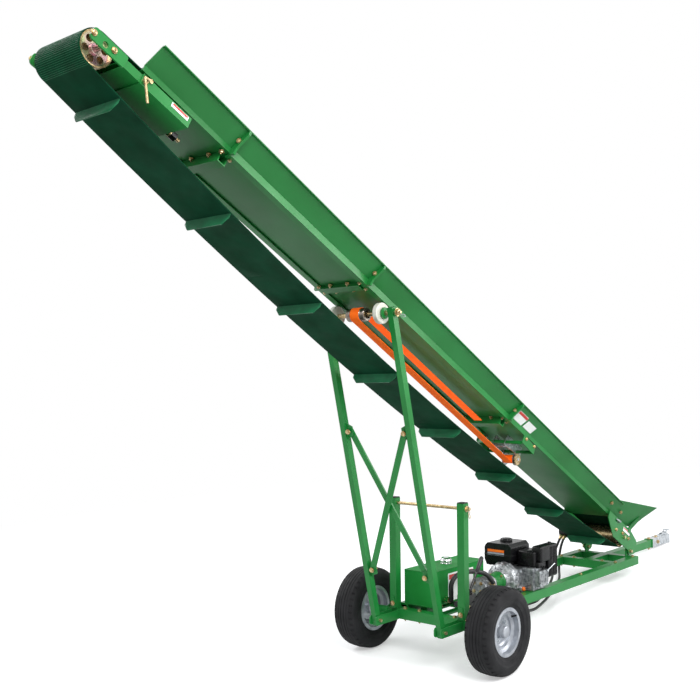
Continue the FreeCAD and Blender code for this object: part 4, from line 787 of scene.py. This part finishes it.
def belt_shape(node):
    """A copy of a belt run, its seams closed and the faces inside its cleats' width marked."""
    bm = bmesh.new()
    bm.from_mesh(nodes[node].data)
    bmesh.ops.remove_doubles(bm, verts=bm.verts, dist=0.00002)
    for face in bm.faces:
        if max(abs(vert.co.y) for vert in face.verts) * 1000 < CLEAT_HALF:
            face.material_index = 1
    return bm


put("belt_loaded_run", belt_shape("belt_carrying_run"), "boom", belt_cover, cleat_pvc,
    place=METRES, stands_for=["belt_carrying_run"], crease=30)
hanging = belt_shape("belt_return_run")
deck_turn = BOOM.to_3x3()
for stretch, ((begin, begin_level), (end, end_level)) in hang_lines.items():
    bm = hanging.copy()
    for reach, toward in ((begin, -1), (end, 1)):
        if TAIL_REACH < reach < HEAD_REACH:
            bmesh.ops.bisect_plane(bm, geom=bm.verts[:] + bm.edges[:] + bm.faces[:],
                                   plane_co=BOOM @ Vector((reach, 0, 0)),
                                   plane_no=deck_turn @ Vector((toward, 0, 0)), clear_outer=True)
    length = put("belt_hanging_" + stretch, bm, "boom", belt_cover, cleat_pvc, place=METRES,
                 stands_for=["belt_return_run"], crease=30)
    across = deck_turn @ Vector((begin_level - end_level, 0, end - begin))
    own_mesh(length)
hanging.free()

# ---- Drums
# The head drum is a lathe-turned shell on a through shaft with pierced webs, and the tail drum,
# driven by the hydraulic motor, is the same. Both are zinc plated.
DRUM_LEVEL, DRUM_RADIUS, RIB_RADIUS, WEB_AT, WEB_HOLE, WEB_CIRCLE = 46.3, 62, 65.8, 117, 13, 37
# Zinc with an iridescent chromate: pink and green drift over a brassy base.
iridescent_zinc = surface("iridescent chromate zinc", "zinc_yellow", "#C79AA4", "#B9C78E", 46,
                          0.28, metal=0.85, detail=1, rough_drift=0.06)
coat_nodes(black_enamel, "drive_motor")


def add_pierced_web(bm, reach, side):
    """A round web with six holes and a bore, cut from plate and thickened."""
    loops = bmesh.ops.create_circle(bm, segments=64, radius=DRUM_RADIUS - 5)["verts"]
    loops += bmesh.ops.create_circle(bm, segments=28, radius=12.5)["verts"]
    for across, rise in ring(6, 30):
        spot = Matrix.Translation((WEB_CIRCLE * across, WEB_CIRCLE * rise, 0))
        loops += bmesh.ops.create_circle(bm, segments=24, radius=WEB_HOLE, matrix=spot)["verts"]
    edges = list(dict.fromkeys(edge for vert in loops for edge in vert.link_edges))
    filled = bmesh.ops.triangle_fill(bm, edges=edges, use_beauty=True, use_dissolve=False)
    faces = [item for item in filled["geom"] if isinstance(item, bmesh.types.BMFace)]
    raised = verts_in(bmesh.ops.extrude_face_region(bm, geom=faces)["geom"])
    bmesh.ops.translate(bm, verts=raised, vec=(0, 0, 4))
    bmesh.ops.transform(bm, matrix=aimed((reach, WEB_AT * side, DRUM_LEVEL), (0, side, 0)),
                        verts=loops + raised)


for name, reach in (("head_drum", HEAD_REACH), ("tail_drum", TAIL_REACH)):
    bm = bmesh.new()
    middle = Vector((reach, 0, DRUM_LEVEL))
    for side in (1, -1):
        add_pierced_web(bm, reach, side)
        add_turned(bm, [(0, 11.3), (0, 19), (13, 19), (15, 17), (15, 11.3), (0, 11.3)],
                   middle + Vector((0, (WEB_AT - 2) * side, 0)), (0, side, 0), 32)
        for fore, rise in ring(72):
            way = Vector((fore, 0, rise))
            add_bar(bm, middle + Vector((0, 129.6 * side, 0)) + way * 57, way, 1.2, 5.4, 6,
                    finish=1)
    add_turned(bm, [(-130, 56.5), (-130, 61.5), (130, 61.5), (130, 56.5), (-130, 56.5)],
               middle, LEFT, 72, finish=1)
    add_bar(bm, (reach, -170, DRUM_LEVEL), LEFT, 11, 340, 24)
    put(name + "_turned", bm, "boom", iridescent_zinc, yellow_zinc, stands_for=[name])
bm = bmesh.new()
for fore, rise in ring(30, -90, 180):
    add_bar(bm, (HEAD_REACH + RIB_RADIUS * fore, -128, DRUM_LEVEL + RIB_RADIUS * rise), LEFT,
            0.9, 256, 6)
put("belt_head_ribs", bm, "boom", cleat_pvc)
put_bolts("motor_bolts", [((TAIL_REACH + 34 * fore, -156, DRUM_LEVEL + 34 * rise), RIGHT,
                           False) for fore, rise in ring(4, 45)], "boom", 14)

# ---- Tail plates and head slides
# Two laser-cut plates hold the tail drum, and the sliding head is drawn out by a tension screw and
# pinched by a T-handle. Screws, bolts and the handle are zinc plated, clear or yellow.
coat_nodes(yellow_zinc, "tension_screw")
bm = bmesh.new()
bend = [Vector(spot) for spot in ((4349, 179, 48), (4349, 203, 48), (4369, 207, 42),
                                  (4322, 207, -26))]
for start, end in zip(bend, bend[1:]):
    add_bar(bm, start, end - start, 4.5, (end - start).length + 2, 14)
add_bar(bm, (4349, 178.6, 48), LEFT, 11, 9, 6)
add_bar(bm, (4331, 178.6, 62), LEFT, 8, 8, 6)
put("lock_rod", bm, "boom", yellow_zinc, stands_for=["lock_handle"])
put_bolts("end_bolts", [
    ((reach, spread * side, level), (0, side, 0), nut) for side in (1, -1)
    for reach, spread, level, nut in (
        (4574, 182, 49, False), (4490, 182, 52, True), (158, 156, 62, True), (63, 156, 62, True),
        (254, 156, 49, False), (-7, 156, 3, True))], "boom", 15)
bm = bmesh.new()
for low, high, thick, finish in (
        ((57, 156.2, 80), (160, 156.2, 105), 0.6, 0), ((62, 156.9, 96), (155, 156.9, 103), 0.4, 1),
        ((4145, 178.5, 50), (4226, 178.5, 66), 0.6, 0),
        ((4150, 179.2, 58), (4221, 179.2, 65), 0.4, 1)):
    add_sticker(bm, low, high, thick, LEFT, finish)
put("end_labels", bm, "boom", white_vinyl, red_vinyl)
bm = bmesh.new()
for side in (1, -1):
    add_bar(bm, (292, 164 * side, 105), (-1, 0, 0.044), 5, 46, 12)
    add_bolt(bm, (246, 164 * side, 107), (-1, 0, 0.044), 13)
    add_box(bm, (258, 155 * side, 99), (266, 172 * side, 113), 1.2)
put("tensioner_screws", bm, "boom", bright_zinc)
bm = bmesh.new()
add_bar(bm, (4090, 50, 50.3), FORE, 17.5, 26, 6)
put("adjuster_nut", bm, "boom", black_enamel, slot="hydraulic_black")

# ---- Winch and lifting strap
# A hand winch on a bracket under the deck winds a woven polyester strap. The strap runs up under
# the deck, round the steel pulley on the mast, and back to its anchor.
STRAP_HALF, STRAP_THICK, STRAP_PICK = 24, 2.4, 2.4
WINCH_AT, WINCH_LEVEL, WINCH_EXIT = 1371, 16, -8.2
# The strap touches the pulley below and above, and its far end is pinned at the anchor.
PULLEY_AT, PULLEY_LEVEL, PULLEY_WRAP, TOUCH_BELOW, TOUCH_ABOVE = 2864, 48, 31.8, 16.2, 79.8
ANCHOR_AT, ANCHOR_LEVEL = 1763, 63.2


def glowing_webbing():
    """Plain weave drawn as coarse as its real pick, in an orange dye, with a painted orange glow.
    """
    material, tree = start_material("woven polyester webbing", "strap")
    place = add_node(tree, "ShaderNodeTexCoord").outputs["Object"]
    weave = add_node(tree, "ShaderNodeTexWave",
                     {"wave_type": "BANDS", "bands_direction": "DIAGONAL"}, Vector=place,
                     Scale=1000 / STRAP_PICK / 6.28, Distortion=0.6, Detail=2.0).outputs[0]
    dye = mottle(tree, "#FF6208", "#FF7A1C", 30, 4.0)
    shade = add_node(tree, "ShaderNodeValToRGB", Fac=weave)
    shade.color_ramp.elements[0].color = (0.86, 0.86, 0.86, 1)
    colour = add_node(tree, "ShaderNodeMix", {"data_type": "RGBA", "blend_type": "MULTIPLY"},
                      _0=0.4, _6=dye, _7=shade.outputs[0])
    bump = add_node(tree, "ShaderNodeBump", Strength=0.5, Distance=0.0004, Height=weave)
    # The webbing glows a little orange of its own: painted light that keeps it bright in the shade
    # under the deck.
    shader = add_node(tree, "ShaderNodeBsdfPrincipled", Roughness=0.82,
                      Base_Color=colour.outputs[2], Normal=bump.outputs[0], Sheen_Weight=0.05,
                      Specular_IOR_Level=0.2, Emission_Color=linear("#FF6A0C"),
                      Emission_Strength=0.35)
    add_node(tree, "ShaderNodeOutputMaterial", Surface=shader.outputs[0])
    return material


# Polyester webbing, plain woven at about 2 mm a pick: bright orange, matt, slightly fuzzy, with a
# painted orange glow.
webbing = glowing_webbing()


def straight(start, end, steps):
    """Evenly spaced (along, level) points from one to the other."""
    return [(start[0] + (end[0] - start[0]) * step / steps,
             start[1] + (end[1] - start[1]) * step / steps) for step in range(steps + 1)]


def add_strap_run(bm, points):
    """A flat strap along points in the plane of the boom: its section bridged to the next."""
    sections = []
    for i, (along, level) in enumerate(points):
        before, after = points[max(i - 1, 0)], points[min(i + 1, len(points) - 1)]
        way = Vector((after[0] - before[0], 0, after[1] - before[1])).normalized()
        across = Vector((-way.z, 0, way.x)) * STRAP_THICK / 2
        corners = [bm.verts.new(Vector((along, half, level)) + across * face) for half, face in (
            (-STRAP_HALF, 1), (STRAP_HALF, 1), (STRAP_HALF, -1), (-STRAP_HALF, -1))]
        sections.append([bm.edges.new((corners[i - 1], corners[i])) for i in range(4)])
    for one, other in zip(sections, sections[1:]):
        bmesh.ops.bridge_loops(bm, edges=one + other)
    bmesh.ops.holes_fill(bm, edges=sections[0] + sections[-1], sides=4)


low_run = straight((WINCH_AT, WINCH_EXIT), (PULLEY_AT, TOUCH_BELOW), 24)
around = [(PULLEY_AT + PULLEY_WRAP * math.sin(math.radians(turn)),
           PULLEY_LEVEL - PULLEY_WRAP * math.cos(math.radians(turn)))
          for turn in range(8, 173, 12)]
high_run = straight((PULLEY_AT, TOUCH_ABOVE), (ANCHOR_AT, ANCHOR_LEVEL), 20)
bm = bmesh.new()
add_strap_run(bm, low_run + around + high_run)
# The strap and its roll carry the webbing's painted orange glow.
strap = put("lifting_strap", bm, None, webbing, place=BOOM,
            stands_for=["lift_strap", "strap_bight"], crease=50)
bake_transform(strap)

bm = bmesh.new()
for side in (1, -1):
    add_plate(bm, [(along, 142 * side, level) for along, level in (
        (1521, 95), (1526, 52), (1384, 43), (1387, 90))], 4, (0, side, 0))
for edge in (1390, 1518):
    add_box(bm, (edge - 3, -142, 44), (edge + 3, 142, 62), 1.2)
put("winch_shelf", bm, "boom", green_coat)
put_bolts("winch_bolts", [((along, 146.4 * side, 84), (0, side, 0), False)
                          for side in (1, -1) for along in (1494, 1400)], "boom", 13)
bm = bmesh.new()
cheek = [(1521, 78), (1528, 34), (1404, 40), (1366, -11), (1352, 6), (1340, 44), (1346, 96),
         (1510, 96)]
for side in (1, -1):
    add_plate(bm, [(along, 36 * side, level) for along, level in cheek], 3, (0, side, 0))
add_bar(bm, (WINCH_AT, -52, WINCH_LEVEL), LEFT, 8, 104, 20)
add_turned(bm, [(-34, 9), (-34, 34), (-31, 34), (-31, 14), (31, 14), (31, 34), (34, 34), (34, 9)],
           (WINCH_AT, 0, WINCH_LEVEL), LEFT, 36)
add_bar(bm, (1440, -40, 62), LEFT, 6, 80, 16)
put("winch_frame", bm, "boom", bright_zinc, stands_for=["winch"])
bm = bmesh.new()
for fore, rise in ring(16):
    way = Vector((fore, 0, rise))
    add_bar(bm, Vector((WINCH_AT, 44, WINCH_LEVEL)) + way * 26, way, 4.5, 10, 6, 1.5)
add_bar(bm, (WINCH_AT, 40.5, WINCH_LEVEL), LEFT, 30, 7, 32)
put("winch_ratchet", bm, "boom", yellow_zinc)
bm = bmesh.new()
add_turned(bm, [(-24, 14.4), (-24, 23), (24, 23), (24, 14.4)], (WINCH_AT, 0, WINCH_LEVEL),
           LEFT, 40)
put("winch_strap_roll", bm, "boom", webbing)

# ---- Mast
# Two square-tube legs with diagonal flat braces lean back from the trailer. They carry the cross
# shaft with its nylon rollers and the strap pulley.
MAST_LEAN, SHAFT_LEVEL = 13.142, 1515.1
place_of["mast"] = (Matrix.Translation(pivot_of["mast_swing"])
                    @ Matrix.Rotation(math.radians(NOSE_DOWN - MAST_LEAN), 4, "Y") @ MM)
# Cast nylon: off-white, waxy, with faint turning rings.
cast_nylon = surface("turned cast nylon", "nylon", "#CFCDBE", "#E2E1D6", 24, 0.42, bump=(2, 0.12))
# Turned mild steel, oiled: grey-brown with fine circular marks.
turned_steel = surface("oiled turned steel", "pulley", "#7D746D", "#A0978E", 9, 0.32, metal=1.0,
                       bump=(1.4, 0.06), rough_drift=0.08)
coat_nodes(green_coat, "mast_legs", "mast_braces")
coat_nodes(cast_nylon, "nylon_rollers")
coat_nodes(yellow_zinc, "roller_shaft")
coat_nodes(turned_steel, "strap_pulley")
put_bolts("mast_bolts", [
    ((fore, spread * side, level), way, nut) for side in (1, -1)
    for spread, level in ((158, 272), (164, 968))
    for fore, way, nut in ((9, FORE, True), (-15, AFT, False))], "mast")
collars, sleeves, clips = bmesh.new(), bmesh.new(), bmesh.new()
for side in (1, -1):
    outward = (0, side, 0)
    add_turned(collars, [(0, 11.4), (0, 24), (3, 26), (10, 26), (12, 22), (12, 11.4)],
               (0, 145 * side, SHAFT_LEVEL), outward, 32)
    add_turned(collars, [(0, 11.6), (0, 18), (4, 19), (7, 18), (7, 11.6)],
               (0, 214 * side, SHAFT_LEVEL), outward, 28)
    add_turned(sleeves, [(0, 19), (0, 30), (22, 30), (24, 28), (24, 19), (0, 19)],
               (0, 28.5 * side, SHAFT_LEVEL), outward, 40)
    add_spring_clip(clips, (0, 226 * side, SHAFT_LEVEL - 13), UP, (0, side, -0.4), 1.6, 38)
put("roller_collars", collars, "mast", green_coat)
put("pulley_sleeves", sleeves, "mast", turned_steel)
put_bolts("shaft_nuts", [((0, 221 * side, SHAFT_LEVEL), (0, side, 0), True) for side in (1, -1)],
          "mast", 25)
put("shaft_clips", clips, "mast", bright_zinc)

# ---- Studio
# Plain pale floor and soft daylight from three large lamps. The white surround comes from the
# camera rays alone, so it puts no extra light on the machine, and the floor keeps the shadow.
WHITE = (1, 1, 1, 1)
LIT_FLOOR, WHITE_FLOOR, FLOOR_SIZE, FLOOR_DROP = 1.8, 5.5, 30, 0.001
world = bpy.data.worlds.new("studio")
bpy.context.scene.world = world
world.use_nodes = True
tree = world.node_tree
tree.nodes.clear()
rays = add_node(tree, "ShaderNodeLightPath")
seen = add_node(tree, "ShaderNodeBackground", Color=WHITE, Strength=1.0)
fill = add_node(tree, "ShaderNodeBackground", Color=(0.93, 0.96, 1, 1), Strength=0.6)
either = add_node(tree, "ShaderNodeMath", {"operation": "MAXIMUM"},
                  _0=rays.outputs["Is Camera Ray"], _1=rays.outputs["Is Glossy Ray"])
pick = add_node(tree, "ShaderNodeMixShader", _0=either.outputs[0], _1=fill.outputs[0],
                _2=seen.outputs[0])
add_node(tree, "ShaderNodeOutputWorld", Surface=pick.outputs[0])
for name, spot, power, size in (("key", (-3.5, -5.0, 5.5), 420, 3.0),
                                ("side", (3.5, -4.5, 3.0), 160, 3.0),
                                ("back", (-1.0, 5.0, 4.5), 200, 4.0)):
    lamp = add_object(name, bpy.data.lights.new(name, "AREA"))
    lamp.data.energy, lamp.data.size = power, size
    lamp.location = spot
    lamp.rotation_euler = (Vector((0, 0, 1.0)) - Vector(spot)).to_track_quat("-Z", "Y").to_euler()
bm = bmesh.new()
bmesh.ops.create_grid(bm, x_segments=1, y_segments=1, size=FLOOR_SIZE)
bmesh.ops.translate(bm, verts=bm.verts, vec=(0, 0, -FLOOR_DROP))
floor = add_object("studio_floor", bpy.data.meshes.new("studio_floor"))
bm.to_mesh(floor.data)
bm.free()
# Matt paper, lit near the machine and fading to plain white beyond.
paper, tree = start_material("matt studio paper")
rays = add_node(tree, "ShaderNodeLightPath")
matt = add_node(tree, "ShaderNodeBsdfDiffuse", Color=(0.8, 0.8, 0.8, 1))
glow = add_node(tree, "ShaderNodeEmission", Color=WHITE, Strength=0.4)
lit = add_node(tree, "ShaderNodeAddShader", _0=matt.outputs[0], _1=glow.outputs[0])
white = add_node(tree, "ShaderNodeEmission", Color=WHITE, Strength=1.0)
spot = add_node(tree, "ShaderNodeTexCoord").outputs["Object"]
reach = add_node(tree, "ShaderNodeVectorMath", {"operation": "DISTANCE"}, _0=spot,
                 _1=(0.3, 0.0, 0.0)).outputs["Value"]
fade = add_node(tree, "ShaderNodeMapRange", Value=reach, _1=LIT_FLOOR, _2=WHITE_FLOOR, _3=0.0,
                _4=1.0)
seen = add_node(tree, "ShaderNodeMixShader", _0=fade.outputs[0], _1=lit.outputs[0],
                _2=white.outputs[0])
pick = add_node(tree, "ShaderNodeMixShader", _0=rays.outputs["Is Camera Ray"],
                _1=matt.outputs[0], _2=seen.outputs[0])
add_node(tree, "ShaderNodeOutputMaterial", Surface=pick.outputs[0])
floor.data.materials.append(paper)
